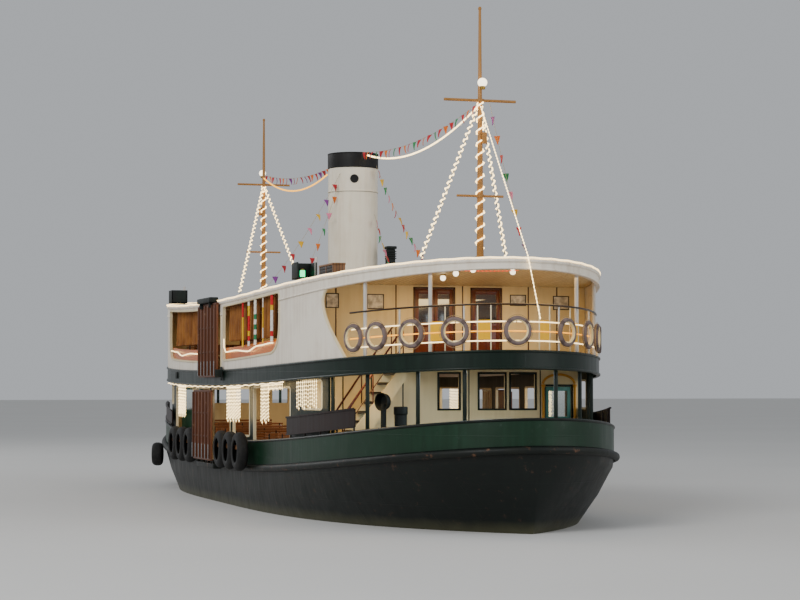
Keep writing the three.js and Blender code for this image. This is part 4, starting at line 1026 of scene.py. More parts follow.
def stair_pieces():
    """Stringers, treads and handrails of one stair, for end 1."""
    x0, x1, y_foot, y_head, steps = (STAIR[k] for k in ("x0", "x1", "y_foot", "y_head", "steps"))
    floor = height(MAIN_DECK, x1) + 0.006
    head = height(UPPER_DECK, x0) + 0.012
    rise, run = (head - floor) / steps, (y_head - y_foot) / steps
    side_shape = [(y_foot, floor), (y_foot + 0.33, floor), (y_head, head - 0.4), (y_head, head),
                  (y_head - 0.09, head),
                  (y_foot, floor + 0.3)]
    stringer = prism("stringer", side_shape, 0.0, 0.045)
    stringer.data.transform(Matrix(((0, 1, 0, x0), (1, 0, 0, 0), (0, 0, 1, 0), (0, 0, 0, 1))))
    stringer.data.flip_normals()
    second = turned_copy(stringer, "stringer_2", Matrix.Translation((x1 - x0 - 0.045, 0.0, 0.0)))
    treads = []
    for i in range(steps - 1):
        y, z = y_foot + 0.06 + i * run, floor + (i + 1) * rise
        treads.append(beam("tread", (x0 + 0.02, y, z - 0.035), (x1 - 0.02, y + run + 0.04, z), 0.008))
        treads.append(beam("nosing", (x0 + 0.02, y, z - 0.07), (x1 - 0.02, y + 0.02, z), 0.008))
    slope = (head - floor) / (y_head - y_foot)

    def over(y, up=STAIR_RAIL):
        """A height over the line of the nosings."""
        return floor + 0.2 + (y - y_foot) * slope + up
    first, last = y_foot + 0.09, y_head - 0.09
    rails = []
    for x in (x0 + 0.026, x1 - 0.026):
        rails.append(pole("handrail", (x, y_foot + 0.04, over(y_foot)), (x, y_head - 0.04, over(y_head)),
                          0.026))
        for y in (first, (y_foot + y_head) / 2, last):
            rails.append(pole("stanchion", (x, y, over(y, -0.16)), (x, y, over(y)), 0.018, None, 12))
        rails.append(pole("middle_rail", (x, first, over(first, 0.4)), (x, last, over(last, 0.4)), 0.012,
                          None, 12))
    return (tidy_join("stair_stringers_1", stringer, second), tidy_join("stair_treads_1", *treads),
            tidy_join("stair_handrails_1", *rails))


stringers, treads, handrails = stair_pieces()
fit_pair(stringers, CREAM, "cream_paint", "stair_%s")
fit_pair(treads, TREAD, "deck_iron")
fit_pair(handrails, RAIL_RED, "rail_paint")


# Posts of the open main deck: round steel pillars under a flat beam that carries the upper deck's edge,
# dark green below and splashed with dirt at the foot.
MAIN_POSTS = (11.0, 12.5, 14.0, 14.85)


def on_outline(plan, x, side):
    """A place on an outline and the way outward there."""
    step = 0.04
    dy = half_breadth(plan, min(plan[0], x + step)) - half_breadth(plan, x - step)
    normal = Vector((-dy, side * 2 * step)).normalized()
    return Vector((x, side * half_breadth(plan, x))), normal


def inside_outline(places, inset):
    """Distances from amidships, each with its points on both sides, set in from the house outline."""
    found = []
    for x in places:
        for side in (-1, 1):
            point, normal = on_outline(HOUSE_PLAN, x, side)
            found.append((x, point - normal * inset))
    return found


def upright(name, at, low, high, *sizes):
    """A round bar standing at a place in plan, with the sizes that pole() takes."""
    return pole(name, (*at, low), (*at, high), *sizes)


header_q = quarter_of(HOUSE_PLAN, MAIN_POSTS[0] - 0.06)
header = swept("header", outline(HOUSE_PLAN, header_q, 2 - header_q, 110), plate_section(
    -0.16, -0.26, lifted(UPPER_DECK_LOW, -0.122), lifted(UPPER_DECK_LOW, -0.003)), closed=False)
pillars = []
for x, point in inside_outline(MAIN_POSTS, 0.21):
    foot, head = height(MAIN_DECK, x) + 0.006, height(UPPER_DECK_LOW, point.x) - 0.06
    pillars.append(upright("pillar", point, foot, head, 0.053, None, 24))
    pillars.append(upright("shoe", point, foot, foot + 0.03, 0.1, 0.09, 24))
    pillars.append(upright("collar", point, head - 0.11, head - 0.06, 0.075, 0.085, 24))
fit_pair(tidy_join("end_deck_pillars_1", header, *pillars), WALL_GREEN, "dark_paint", "end_posts_%s")


# End rails of the upper deck: dark varnished handrail on steel stanchions with three rails wound with
# light rope, roof poles, and lifebuoys hung outside on hooks.
RAIL_POSTS = (12.5, 13.6, 14.3, 14.85)
RAIL_HEIGHTS = (0.23, 0.47, 0.71)
HANDRAIL = 1.15
UPPER_POLES = (12.5, 14.3)
BUOY = {"places": (12.2, 13.0, 13.94, 14.74), "radius": 0.31, "section": 0.062, "height": 0.48}
RAIL_END = 11.96


def glowing(name, colour, strength, unlit="f2ead8"):
    """A lit lamp skin: warm plastic that glows a little unevenly along its length."""
    material, place = new_material(name)
    power = ranged(material, noise(material, place, 30.0, 1.0), strength * 0.7, strength * 1.3)
    return shaded(material, {"Emission Strength": power, "Emission Color": linear(colour),
                             "Base Color": linear(unlit), "Roughness": 0.35})


WARM_ROPE = glowing("warm_white_rope_light", "ffdc9a", 3.0)
YELLOW_ROPE = glowing("yellow_rope_light", "ff9d00", 1.8, "f0b840")
POLE_WHITE = weathered_paint("grey_white_pole_enamel", "c9c6bf", "a59f95", 0.4, 0.5)


def rope_line(name, points, radius, sides=8):
    """A thin round line through points, as a mesh."""
    bpy.ops.object.select_all(action="DESELECT")
    bpy.ops.curve.primitive_nurbs_path_add()
    piece = bpy.context.object
    piece.data.splines.clear()
    spline = piece.data.splines.new("POLY")
    spline.points.add(len(points) - 1)
    for at, point in zip(spline.points, points):
        at.co = (*point, 1.0)
    piece.location = (0.0, 0.0, 0.0)
    piece.data.bevel_depth, piece.data.bevel_resolution, piece.data.use_fill_caps = radius, max(1,
            sides // 4), True
    bpy.ops.object.convert(target="MESH")
    piece = bpy.context.object
    piece.name = piece.data.name = name
    bpy.ops.object.shade_smooth()
    return piece


ROPE_IN = 0.093
rail_q = quarter_of(HOUSE_PLAN, RAIL_END)
rail_line = outline(HOUSE_PLAN, rail_q, 2 - rail_q, 130)
handrail_section = [(-0.0925 + 0.033 * math.cos(a), lifted(BAND_TOP, HANDRAIL + 0.025 * math.sin(a)))
                    for a in full_circle(10)]
handrail = swept("upper_end_handrail_1", rail_line, handrail_section, closed=False)
rail_ropes = []
for rise in RAIL_HEIGHTS:
    points = [(p[0] - n[0] * ROPE_IN, p[1] - n[1] * ROPE_IN, height(BAND_TOP, p[0]) + rise)
              for p, n in rail_line]
    rail_ropes.append(rope_line("yellow_rail_rope_1", points, 0.017))
foot_rope, middle_rope, top_rope = rail_ropes
top_and_foot = tidy_join("white_rail_ropes_1", foot_rope, top_rope)
middle_rope.name = middle_rope.data.name = "yellow_rail_rope_1"
uprights = [upright("stanchion", at, height(UPPER_DECK, x) + 0.01, height(BAND_TOP, x) + HANDRAIL, 0.024,
                    None, 12)
            for x, at in inside_outline(RAIL_POSTS, 0.107)]
for x, at in inside_outline(UPPER_POLES, 0.133):
    foot = height(UPPER_DECK, x) + 0.01
    uprights.append(upright("pole", at, foot, height(ROOF_LOW, x - 0.05) - 0.003, 0.05, None, 24))
    uprights.append(upright("shoe", at, foot, foot + 0.03, 0.095, 0.085, 24))
uprights = tidy_join("upper_end_poles_1", *uprights)


def ring_point(section, a, b):
    """A point of a ring that faces +X: a runs round the ring, b round its section."""
    r = BUOY["radius"] + section * math.cos(b)
    return section * math.sin(b), r * math.cos(a), r * math.sin(a)


def lifebuoy():
    """A ring buoy at the origin that faces +X: canvas ring, four bands, grab line, and a cream strip over the
    inner rim that is a painted highlight, for the saloon light that falls on it.
    """
    radius, section = BUOY["radius"], BUOY["section"]
    bpy.ops.object.select_all(action="DESELECT")
    bpy.ops.mesh.primitive_torus_add(major_radius=radius, minor_radius=section, major_segments=48,
                                     minor_segments=16, rotation=(0.0, math.pi / 2, 0.0))
    bpy.ops.object.transform_apply(location=True, rotation=True, scale=True)
    ring = bpy.context.object
    bands = []
    for middle in (math.radians(45 + 90 * k) for k in range(4)):
        bands.append(sheet_of_points("band", 6, 16, lambda u, v: ring_point(
            section + 0.003, middle + (u - 0.5) * 0.34, v * math.tau)))
    line = []
    for a in [i * math.tau / 64 for i in range(65)]:
        r = radius + section + 0.012 + 0.02 * abs(math.sin(2 * a))
        line.append((0.0, r * math.cos(a + math.pi / 4), r * math.sin(a + math.pi / 4)))
    grab = rope_line("grab_line", line, 0.006)
    # A cream strip over the inner rim of the ring: a painted highlight, for the saloon light that catches the
    # inside of the ring.
    lining = thickened(sheet_of_points("lining", 48, 8, lambda u, v: ring_point(
        section + 0.002, u * math.tau, math.pi + (v - 0.5) * 1.9)), 0.002)
    return ring, tidy_join("bands", *bands), grab, lining


def hemp():
    """Twisted hemp: fine diagonal strands."""
    material, place = new_material("twisted_hemp")
    strands = add_node(material, "TexWave", {"Vector": place, "Scale": 60.0, "Distortion": 3.0},
                       bands_direction="DIAGONAL")
    return shaded(material, {"Base Color": toned(material, strands.outputs["Fac"], "8c7a58", "c8b48a"),
                             "Roughness": 0.9})


HANDRAIL_WOOD = planked_wood("near_black_handrail_varnish", "2b1710", "1f100b", 0.4, 3.0, 0.3)
# The buoys are white canvas; the canvas and band colours are darkened with painted shade, the shadow on the
# buoys' outer faces.
SHADED_BUOY_CANVAS = weathered_paint("painted_buoy_canvas", "7a6a66", "5e514d", 0.8, 0.6, None, 0.0, "93857e")
SHADED_BUOY_BAND = weathered_paint("muted_buoy_bands", "5f4f4b", "4c3f3b", 0.65, 0.5)
HEMP = hemp()
fit_pair(handrail, HANDRAIL_WOOD, "varnished_wood")
fit_pair(top_and_foot, WARM_ROPE)
fit_pair(middle_rope, YELLOW_ROPE)
fit_pair(uprights, POLE_WHITE, "rail_paint")
hung = [on_outline(HOUSE_PLAN, x, side) for x in BUOY["places"] for side in (-1, 1)]
hung.append((Vector((HOUSE_PLAN[0], 0.0)), Vector((1.0, 0.0))))
stands = [facing(p, n, height(BAND_TOP, p.x) + BUOY["height"]) for p, n in hung]
ring, bands, grab, lining = lifebuoy()
hook = pole("hook", (-0.1, 0.0, 0.22), (0.0, 0.0, BUOY["radius"] + 0.01), 0.018, None, 10)
for name, model, material, finish, node in (
        # Canvas and bands: colours darkened with painted shade.
        ("lifebuoys_1", ring, SHADED_BUOY_CANVAS, "rail_paint", None),
        ("lifebuoy_bands_1", bands, SHADED_BUOY_BAND, None, None),
        # The cream strip on the inner rims is a painted highlight of the saloon light.
        ("lifebuoy_linings_1", lining, CREAM, None, None), ("lifebuoy_grab_lines_1", grab, HEMP, None, None),
        ("lifebuoy_hooks_1", hook, POLE_WHITE, "deck_iron", "end_rail_%s")):
    fit_pair(repeated(name, model, stands), material, finish, node)


# Funnel: rolled and riveted steel casing, warm white, on a flanged foot with a half-round ring and
# a thin dark line high up; a black cap stands open over the smoke pipe inside.
FUNNEL = {"radius": 0.79, "ring": 9.76, "white_top": 10.54, "top": 11.01}
FUNNEL_WHITE = weathered_paint("funnel_white_enamel", "f1e7d2", "d0bc98", 0.35, 0.55, (2.4, 1.1), 0.25, None)
FUNNEL_BLACK = weathered_paint("sooty_black_enamel", "141414", "2a2623", 0.55, 0.8)


def turned(name, profile, place=(0.0, 0.0, 0.0), sides=64, closed=False):
    """A body of revolution about the upright through place; profile is pairs of radius and height over it."""
    rows = profile + profile[:1] if closed else profile

    def at(u, v):
        radius, z = rows[round(v * (len(rows) - 1))]
        a = u * math.tau
        return place[0] + radius * math.cos(a), place[1] + radius * math.sin(a), place[2] + z
    return sheet_of_points(name, sides, len(rows) - 1, at)


def half_circle(steps):
    """Angles from straight down, by the outside, to straight up."""
    return [math.pi * (i / steps - 0.5) for i in range(steps + 1)]


def round_bead(radius, z, size):
    """A half-round bead on a casing, as points of its profile from below to above."""
    return [(radius + size * math.cos(a), z + size * math.sin(a)) for a in half_circle(8)]


r, ring_z, white_top, cap_top = (FUNNEL[k] for k in ("radius", "ring", "white_top", "top"))
foot = height(ROOF_EDGE, r + 0.1) + ROOF_CAMBER + 0.004
neck = foot + 0.12
casing_foot = [(0.0, neck), (r - 0.012, neck), (r - 0.012, foot + 0.004), (r + 0.07, foot + 0.004),
               (r + 0.07, foot + 0.05), (r + 0.03, foot + 0.09), (r, neck)]
casing_head = [(r, white_top - 0.02), (r - 0.04, white_top), (r - 0.04, ring_z + 0.14), (0.0, ring_z + 0.14)]
casing_side = [(r, neck + (ring_z - 0.1 - neck) * i / 6) for i in range(1, 7)]
casing = turned("funnel_casing_plating", casing_foot + casing_side + round_bead(r, ring_z + 0.025, 0.022)
                + casing_head)
fit(casing, FUNNEL_WHITE, "funnel_white", replaces=["funnel_casing"])
cap_out, cap_in, cap_foot = r + 0.018, r - 0.06, white_top + 0.001
cap_piece = turned("funnel_cap_plating",
                   [(cap_out, cap_foot), (cap_out, cap_foot + 0.2), (cap_out, cap_top - 0.05)]
                   + round_bead(cap_out - 0.012, cap_top - 0.02, 0.02)[1:]
                   + [(cap_in, cap_top), (cap_in, cap_foot)],
                   closed=True)
fit(cap_piece, FUNNEL_BLACK, "funnel_black", replaces=["funnel_cap"])
smoke_pipe = turned("smoke_pipe", [(0.36, ring_z + 0.15), (0.36, cap_top - 0.12), (0.33, cap_top - 0.12),
                                   (0.33, ring_z + 0.15)], closed=True)
fit(smoke_pipe, FUNNEL_BLACK, "funnel_black")
PORT = {"z": 10.16, "heading": -0.22}
port_body = turned("port",
                   [(0.0, -0.03), (0.13, -0.03), (0.135, 0.012), (0.12, 0.022), (0.1, 0.018), (0.098, 0.0),
                            (0.0, 0.0)], sides=36)
port_body.data.transform(Matrix.Rotation(PORT["heading"], 4, "Z") @ Matrix.Translation((r, 0.0, PORT["z"]))
                         @ Matrix.Rotation(math.pi / 2, 4, "Y"))
dark_line = turned("dark_line", [(r - 0.005, ring_z - 0.005), (r + 0.006, ring_z - 0.005),
                                 (r + 0.006, ring_z + 0.001), (r - 0.005, ring_z + 0.001)], closed=True)
port_and_line = tidy_join("funnel_port_and_line", port_body, dark_line,
                          turned_copy(port_body, "port_2", HALF_TURN))
fit(port_and_line, FUNNEL_BLACK, "funnel_black")


# Masts: tapered steel poles with a step, a yard, a lower bar and two stays down to the roof; wound
# with light strings, with one round white lamp on a bracket near the top.
MAST_X = 12.35
MAST = {"top": 13.64, "yard": 11.15, "yard_half": 1.0, "bar": 8.62, "bar_half": 0.65}
STAY_FOOT = (11.0, 1.21, 7.01)
MAST_LAMP = {"z": 11.6, "reach": 0.2, "radius": 0.13}
MAST_BUFF = weathered_paint("buff_mast_enamel", "a8773f", "86602f", 0.4, 0.6)
LAMP_WHITE = glowing("lit_opal_globe", "fff0d0", 3.0)


def steel():
    """Hot-dip galvanised steel: spangled grey, dulled by salt."""
    material, place = new_material("galvanised_steel")
    spangle = add_node(material, "TexVoronoi", {"Vector": place, "Scale": 40.0}).outputs["Distance"]
    return shaded(material, {"Base Color": blended(material, spangle, "a9acad", "75797b"), "Metallic": 0.85,
                             "Roughness": ranged(material, noise(material, place, 3.0, 5.0), 0.35, 0.7)})


GALVANISED = steel()
mast_at, yard_at = (MAST_X, 0.0), (MAST_X, 0.0, MAST["yard"])
mast_foot = height(ROOF_EDGE, MAST_X) + 0.33
lamp_at = (MAST_X + MAST_LAMP["reach"], 0.0, MAST_LAMP["z"])
mast = tidy_join(
    "mast_spars_1",
    upright("pole", mast_at, mast_foot + 0.06, MAST["top"], 0.095, 0.035, 32),
    turned("step", [(0.0, 0.0), (0.17, 0.0), (0.17, 0.05), (0.11, 0.12), (0.0, 0.12)], (*mast_at, mast_foot),
           32),
    pole("yard", (MAST_X, -MAST["yard_half"], MAST["yard"]), (MAST_X, MAST["yard_half"], MAST["yard"]),
         0.038),
    pole("bar", (MAST_X, -MAST["bar_half"], MAST["bar"]), (MAST_X, MAST["bar_half"], MAST["bar"]), 0.032),
    pole("bracket", (*mast_at, lamp_at[2] - 0.15), (*lamp_at[:2], lamp_at[2] - 0.15), 0.02),
    beam("cleat", (MAST_X + 0.06, 0.02, 10.0), (MAST_X + 0.12, 0.16, 10.3), 0.01),
    turned("truck", [(0.0, 0.0), (0.036, -0.01), (0.05, -0.05), (0.036, -0.09), (0.0, -0.095)],
           (*mast_at, MAST["top"]), 20),
    *[turned("band", [(0.0, -0.04), (0.1, -0.04), (0.1, 0.04), (0.0, 0.04)], (*mast_at, z), 24)
      for z in (MAST["yard"], MAST["bar"])])
stay_feet = [(STAY_FOOT[0], side * STAY_FOOT[1]) for side in (-1, 1)]
stays = tidy_join(
    "mast_stays_1",
    *[pole("stay", yard_at, (*at, STAY_FOOT[2]), 0.014, None, 10) for at in stay_feet],
    *[upright("eye_post", at, height(ROOF_EDGE, at[0]) + 0.33, STAY_FOOT[2] + 0.02, 0.024, 0.02, 12)
      for at in stay_feet])
globe_r = MAST_LAMP["radius"]
globe_profile = [(globe_r * math.cos(a) * 0.98, globe_r * math.sin(a) * 0.95) for a in half_circle(14)]
globe = turned("mast_lamp_globe_1", globe_profile, lamp_at, 32)
globe_cup = turned("mast_lamp_cup_1", [(0.0, -0.18), (0.07, -0.18), (0.08, -0.1), (0.07, -0.1), (0.0, -0.12)],
                   lamp_at, 24)


def spiral(foot, head, radius, turns, steps=14):
    """Points wound round a straight line; radius is a pair, at the foot and at the head."""
    foot, head = Vector(foot), Vector(head)
    axis = (head - foot).normalized()
    across = axis.cross(Vector((1.0, 0.3, 0.0))).normalized()
    other = axis.cross(across)
    points = []
    for i in range(int(turns * steps) + 1):
        t = i / (turns * steps)
        a = math.tau * turns * t
        r = radius[0] + (radius[1] - radius[0]) * t
        points.append(foot.lerp(head, t) + (across * math.cos(a) + other * math.sin(a)) * r)
    return points


STRING_LIGHT = glowing("beaded_string_light", "ffdc96", 4.5)


def bead_string(name, points, radius=0.016, bead=0.03, spacing=0.11):
    """A wire with small lamps along it."""
    wire = rope_line(name, points, radius, 6)
    bpy.ops.object.select_all(action="DESELECT")
    bpy.ops.mesh.primitive_ico_sphere_add(subdivisions=1, radius=bead)
    lamp = bpy.context.object
    places, walked = [], 0.0
    for a, b in zip(points, points[1:]):
        a, b = Vector(a), Vector(b)
        length = (b - a).length
        while walked < length:
            places.append(Matrix.Translation(a.lerp(b, walked / length)))
            walked += spacing
        walked -= length
    lamps = repeated("lamps", lamp, places)
    return tidy_join(name, wire, lamps)


mast_lights = tidy_join(
    "mast_spiral_lights_1",
    bead_string("spiral", spiral((MAST_X, 0.0, 7.25), yard_at, (0.115, 0.09), 12)),
    *[bead_string("stay_lights", spiral((*at, STAY_FOOT[2] + 0.05), yard_at, (0.04, 0.04), 26, 8),
                  spacing=0.09)
      for at in stay_feet])
fit_pair(mast, MAST_BUFF, "white_paint", "mast_%s")
fit_pair(stays, GALVANISED, "deck_iron")
fit_pair(globe, LAMP_WHITE)
fit_pair(globe_cup, BRASS, "bronze")
fit_pair(mast_lights, STRING_LIGHT)


# Roof gear: sheet-steel screens for the sidelights with their lamps, long wooden lockers, a square
# vent trunk beside the funnel, and the hoist hood and guide plate over each upper gangway.
def roof_top(x, y):
    share = min(1.0, abs(y) / half_breadth(HOUSE_PLAN, x))
    return height(ROOF_EDGE, x) + ROOF_CAMBER * (1 - share ** 2)


SIDELIGHT = {"x": 8.95, "y": -3.9, "half_x": 0.3, "half_y": 0.28, "height": 0.46, "board": 0.04}
SCREEN_BLACK = weathered_paint("matt_black_screen_paint", "101614", "24302b", 0.6, 0.5)
GREEN_LENS = glowing("green_sidelight_lens", "18ff9a", 3.2, "1c7a55")
RED_LENS = glowing("red_sidelight_lens", "ff2a1c", 3.2, "8a1c18")


def sidelight():
    """Screen, lens, lamp body and post of one sidelight, for starboard of end 1."""
    x, y, hx, hy, tall, board = (SIDELIGHT[k] for k in ("x", "y", "half_x", "half_y", "height", "board"))
    foot = roof_top(x + hx, y + hy) + 0.012
    x0, x1, y0, y1 = x - hx, x + hx, y - hy, y + hy
    screen = tidy_join("sidelight_screen", beam("floor", (x0, y0, foot), (x1, y1, foot + board)),
                       beam("back", (x0, y0, foot), (x0 + board, y1, foot + tall)),
                       beam("inboard", (x0, y1 - board, foot), (x1, y1, foot + tall)),
                       beam("outboard", (x0, y0, foot), (x1, y0 + board, foot + tall)))
    at = (x0 + board + 0.06, y, foot)
    lens = turned("sidelight_lens", [(0.0, 0.08), (0.066, 0.08), (0.07, 0.12), (0.07, 0.22), (0.066, 0.26),
                                     (0.0, 0.26)], at, 24)
    body = turned("lamp_body", [(0.0, 0.03), (0.075, 0.03), (0.075, 0.08), (0.0, 0.085)], at, 24)
    lid = turned("lamp_lid", [(0.0, 0.26), (0.074, 0.262), (0.05, 0.3), (0.0, 0.31)], at, 24)
    post = upright("sidelight_post", (x1 - 0.06, y1 - 0.01), foot, foot + tall + 0.15, 0.04)
    return screen, lens, tidy_join("sidelight_lamp", body, lid), post


# The side of the ship is named as each end's own crew see it, so the lamp colours change at end 2
screen, lens, lamp_body, post = sidelight()
fit_four(screen, SCREEN_BLACK, "box_black", "sidelight")
fit_four(lens, (GREEN_LENS, RED_LENS))
fit_four(lamp_body, BRASS, "bronze")
fit_four(post, POLE_WHITE, "white_paint")

# Columns: ends, sides, height
LOCKER = (6.7, 8.2, -2.88, -2.54, 0.4)
x0, x1, y0, y1, tall = LOCKER
foot = roof_top(x1, y1) + 0.03
joinery = []
for z in [foot + 0.01 + k * 0.082 for k in range(4)]:
    joinery.append(beam("slat", (x0 + 0.02, y0, z), (x1 - 0.02, y1, z + 0.076), 0.008))
for x in (x0 + 0.03, (x0 + x1) / 2, x1 - 0.03):
    joinery.append(beam("corner", (x - 0.03, y0 - 0.01, foot), (x + 0.03, y1 + 0.01, foot + tall - 0.06),
                        0.006))
joinery.append(beam("lid", (x0 - 0.02, y0 - 0.02, foot + tall - 0.06), (x1 + 0.02, y1 + 0.02, foot + tall),
                    0.015))
LOCKER_WOOD = planked_wood("weathered_locker_wood", "8a5f3a", "74502f", 0.09, 1.5, 0.55)
fit_pair(tidy_join("roof_locker_joinery_1", *joinery), LOCKER_WOOD, "varnished_wood", "roof_locker_%s")

# Columns: place, half width, top
TRUNK = (0.85, 0.99, 0.13, 8.03)
x, y, half, top = TRUNK
foot = roof_top(x + half, y - half) + 0.03


def trunk_part(name, out, low, high, edge=0.008, lean=0.02):
    """A part that stands out all round the trunk, a little further outboard."""
    return beam(name, (x - half - out, y - half - out + lean, low), (x + half + out, y + half + out, high),
                edge)


louvres = [trunk_part("louvre", 0.03, top - 0.4 + k * 0.07, top - 0.37 + k * 0.07, 0.006) for k in range(4)]
trunk = tidy_join("vent_trunk_casing", trunk_part("shaft", 0.0, foot, top - 0.1, 0.01, 0.0),
                  trunk_part("flange", 0.06, foot, foot + 0.04), *louvres,
                  trunk_part("lid", 0.04, top - 0.09, top, 0.02))
fit(trunk, SCREEN_BLACK, "dark_paint", replaces=["vent_trunk"])

HOOD = {"half": 0.95, "depth": 0.29, "z0": 6.19, "z1": 6.35, "skin": -4.571, "foot": 6.0}
half, depth, z0, z1, skin = (HOOD[k] for k in ("half", "depth", "z0", "z1", "skin"))
hood_parts = [beam("hood", (-half, skin - depth, z0), (half, skin, z1), 0.03, 4),
              beam("plate", (-half + 0.1, skin - 0.05, HOOD["foot"]), (half - 0.1, skin, z0 + 0.01), 0.006)]
for x in (-0.7, 0.7):
    hood_parts.append(beam("cheek", (x - 0.03, skin - 0.25, z0 - 0.16), (x + 0.03, skin - 0.03, z0 + 0.01),
                           0.01))
    hood_parts.append(pole("sheave", (x - 0.045, skin - 0.16, z0 - 0.1), (x + 0.045, skin - 0.16, z0 - 0.1),
                           0.07,
                           None, 24))
fit_pair(tidy_join("gangway_hoist_hood_starboard", *hood_parts), SCREEN_BLACK, "box_black")


# Gangways: wooden leaves hinged at each deck edge and folded up flat against the side, planked inside
# and ribbed outside, iron-shod at the head, with strap hinges at the foot.
GANGWAY_HALF, LEAF = 1.29, 0.07
# Columns: name, foot, height, place of the leaf's face
GANGWAYS = [("upper_gangway", 3.88, 2.29, -4.64), ("lower_gangway", 1.33, 2.16, -4.81)]
GANGWAY_WOOD = planked_wood("oiled_gangway_planks", "7a4728", "66391f", 0.16, 2.6, 0.5, math.pi / 2)
RIB_BROWN = weathered_paint("brown_gangway_frame_paint", "54301f", "6d4630", 0.5, 0.6, None, 0.0, "8a6a50")
BOARDS, RIBS = 16, 6
for name, foot, tall, y in GANGWAYS:
    back, head = y - LEAF, foot + tall
    planks = []
    for k in range(BOARDS):
        xa, xb = (-GANGWAY_HALF + 2 * GANGWAY_HALF * i / BOARDS for i in (k, k + 1))
        planks.append(beam("plank", (xa + 0.003, back, foot + 0.01), (xb - 0.003, y, head - 0.01), 0.006))
    rib_at = [-GANGWAY_HALF + 0.04 + k * (2 * GANGWAY_HALF - 0.14) / (RIBS - 1) for k in range(RIBS)]
    ribs = [beam("rib", (x, back - 0.06, foot + 0.06), (x + 0.06, back + 0.005, head - 0.06), 0.006)
            for x in rib_at]
    for z in (foot, head - 0.06):
        ribs.append(beam("edge", (-GANGWAY_HALF, back - 0.012, z), (GANGWAY_HALF, y + 0.004, z + 0.06),
                         0.006))
    for z in (foot + tall * 0.33, foot + tall * 0.66):
        ribs.append(beam("cross", (-GANGWAY_HALF + 0.05, back - 0.02, z),
                         (GANGWAY_HALF - 0.05, back + 0.002, z + 0.05),
                         0.004))
    iron = [beam("strap", (x - 0.005, back - 0.066, foot + 0.05), (x + 0.065, back - 0.055, foot + 0.5),
                 0.003)
            for x in rib_at]
    iron += [pole("eye", (x - 0.01, y - 0.03, head - 0.03), (x + 0.07, y - 0.03, head - 0.03), 0.026)
             for x in (rib_at[1], rib_at[4])]
    for kind, parts, material, finish in (("planking", planks, GANGWAY_WOOD, "varnished_wood"),
                                          ("ribs", ribs, RIB_BROWN, "varnished_wood"),
                                          ("ironwork", iron, GALVANISED, "deck_iron")):
        body = name + "_%s"
        fit_pair(tidy_join("%s_%s_starboard" % (name, kind), *parts), material, finish,
                 body if kind == "planking" else None, body, OTHER_SIDE)


# Tyre fenders: old lorry tyres with worn tread, chained in threes to a rubbing board along the side.
FENDER = {"places": (2.35, 3.60, 4.85), "z": 1.72, "radius": 0.57, "section": 0.17, "y": -4.77}


def rubber():
    """Sun-bleached rubber, scuffed grey where it rubs, salt-stained."""
    material, place = new_material("scuffed_tyre_rubber")
    scuff = noise(material, place, 9.0, 8.0, 0.7)
    return shaded(material, {"Base Color": toned(material, scuff, "070707", "262523", 0.45, 0.72),
                             "Roughness": ranged(material, scuff, 0.65, 0.95),
                             "Normal": bumped(material, scuff, 0.4, 0.004)})


def tyre(name, count=72):
    """A hollow-walled tyre standing along the ship, its tread cut into blocks."""
    section, steps = FENDER["section"], 18
    mean = FENDER["radius"] - section
    profile = []
    for a in [math.radians(-115 + 230 * i / steps) for i in range(steps + 1)]:
        flattened = 0.97 if abs(math.sin(a)) < 0.6 else 1.0
        profile.append((mean + section * math.cos(a) * flattened, section * 0.98 * math.sin(a)))
    inner = [(r - (0.005 if i in (0, steps) else 0.035), w * 0.82) for i, (r, w) in enumerate(profile)]
    loop = profile + inner[::-1]

    def place(u, v):
        k = round(u * count) % count
        r, w = loop[round(v * len(loop)) % len(loop)]
        if r > mean + section * 0.86:
            r -= 0.012 * (k % 2) + 0.006 * (abs(w) < 0.02)
        a = math.tau * k / count
        return r * math.cos(a), w, r * math.sin(a)
    return sheet_of_points(name, count, len(loop), place)


places, fender_y, board_z = FENDER["places"], FENDER["y"], FENDER["z"] + 0.12
tyres = repeated("fender_tyres", tyre("tyre"),
                 [Matrix.Translation((x, fender_y, FENDER["z"])) for x in places])
rub_board = beam("fender_board", (places[0] - 0.5, fender_y - 0.04, board_z - 0.07),
                 (places[-1] + 0.5, fender_y + 0.04, board_z + 0.07), 0.012)
chains = []
for x in places:
    for k in range(5):
        bpy.ops.object.select_all(action="DESELECT")
        bpy.ops.mesh.primitive_torus_add(major_radius=0.03, minor_radius=0.008, major_segments=14,
                                         minor_segments=8,
                                         location=(x, fender_y + 0.07, board_z + 0.05 + 0.045 * k),
                                         rotation=(math.pi / 2, 0.0, (k % 2) * math.pi / 2))
        bpy.ops.object.transform_apply(location=True, rotation=True, scale=True)
        chains.append(bpy.context.object)
TYRE_RUBBER = rubber()
fit_four(tyres, TYRE_RUBBER, "tyre_rubber", "tyre_fender", OTHER_END)
fit_four(rub_board, LOCKER_WOOD, "varnished_wood", far_end=OTHER_END)
fit_four(tidy_join("fender_chains", *chains), GALVANISED, "deck_iron", far_end=OTHER_END)

# One smaller tyre hangs on a lashing outside the strake at the far starboard quarter
HUNG_TYRE = {"place": (-10.45, -4.33, 1.17), "size": 0.74, "heading": -0.3}
small_tyre = tyre("quarter_tyre")
small_tyre.data.transform(Matrix.Translation(HUNG_TYRE["place"])
                          @ Matrix.Rotation(HUNG_TYRE["heading"], 4, "Z")
                          @ Matrix.Diagonal((HUNG_TYRE["size"], 1.12, HUNG_TYRE["size"], 1.0)))
fit(small_tyre, TYRE_RUBBER, "tyre_rubber")


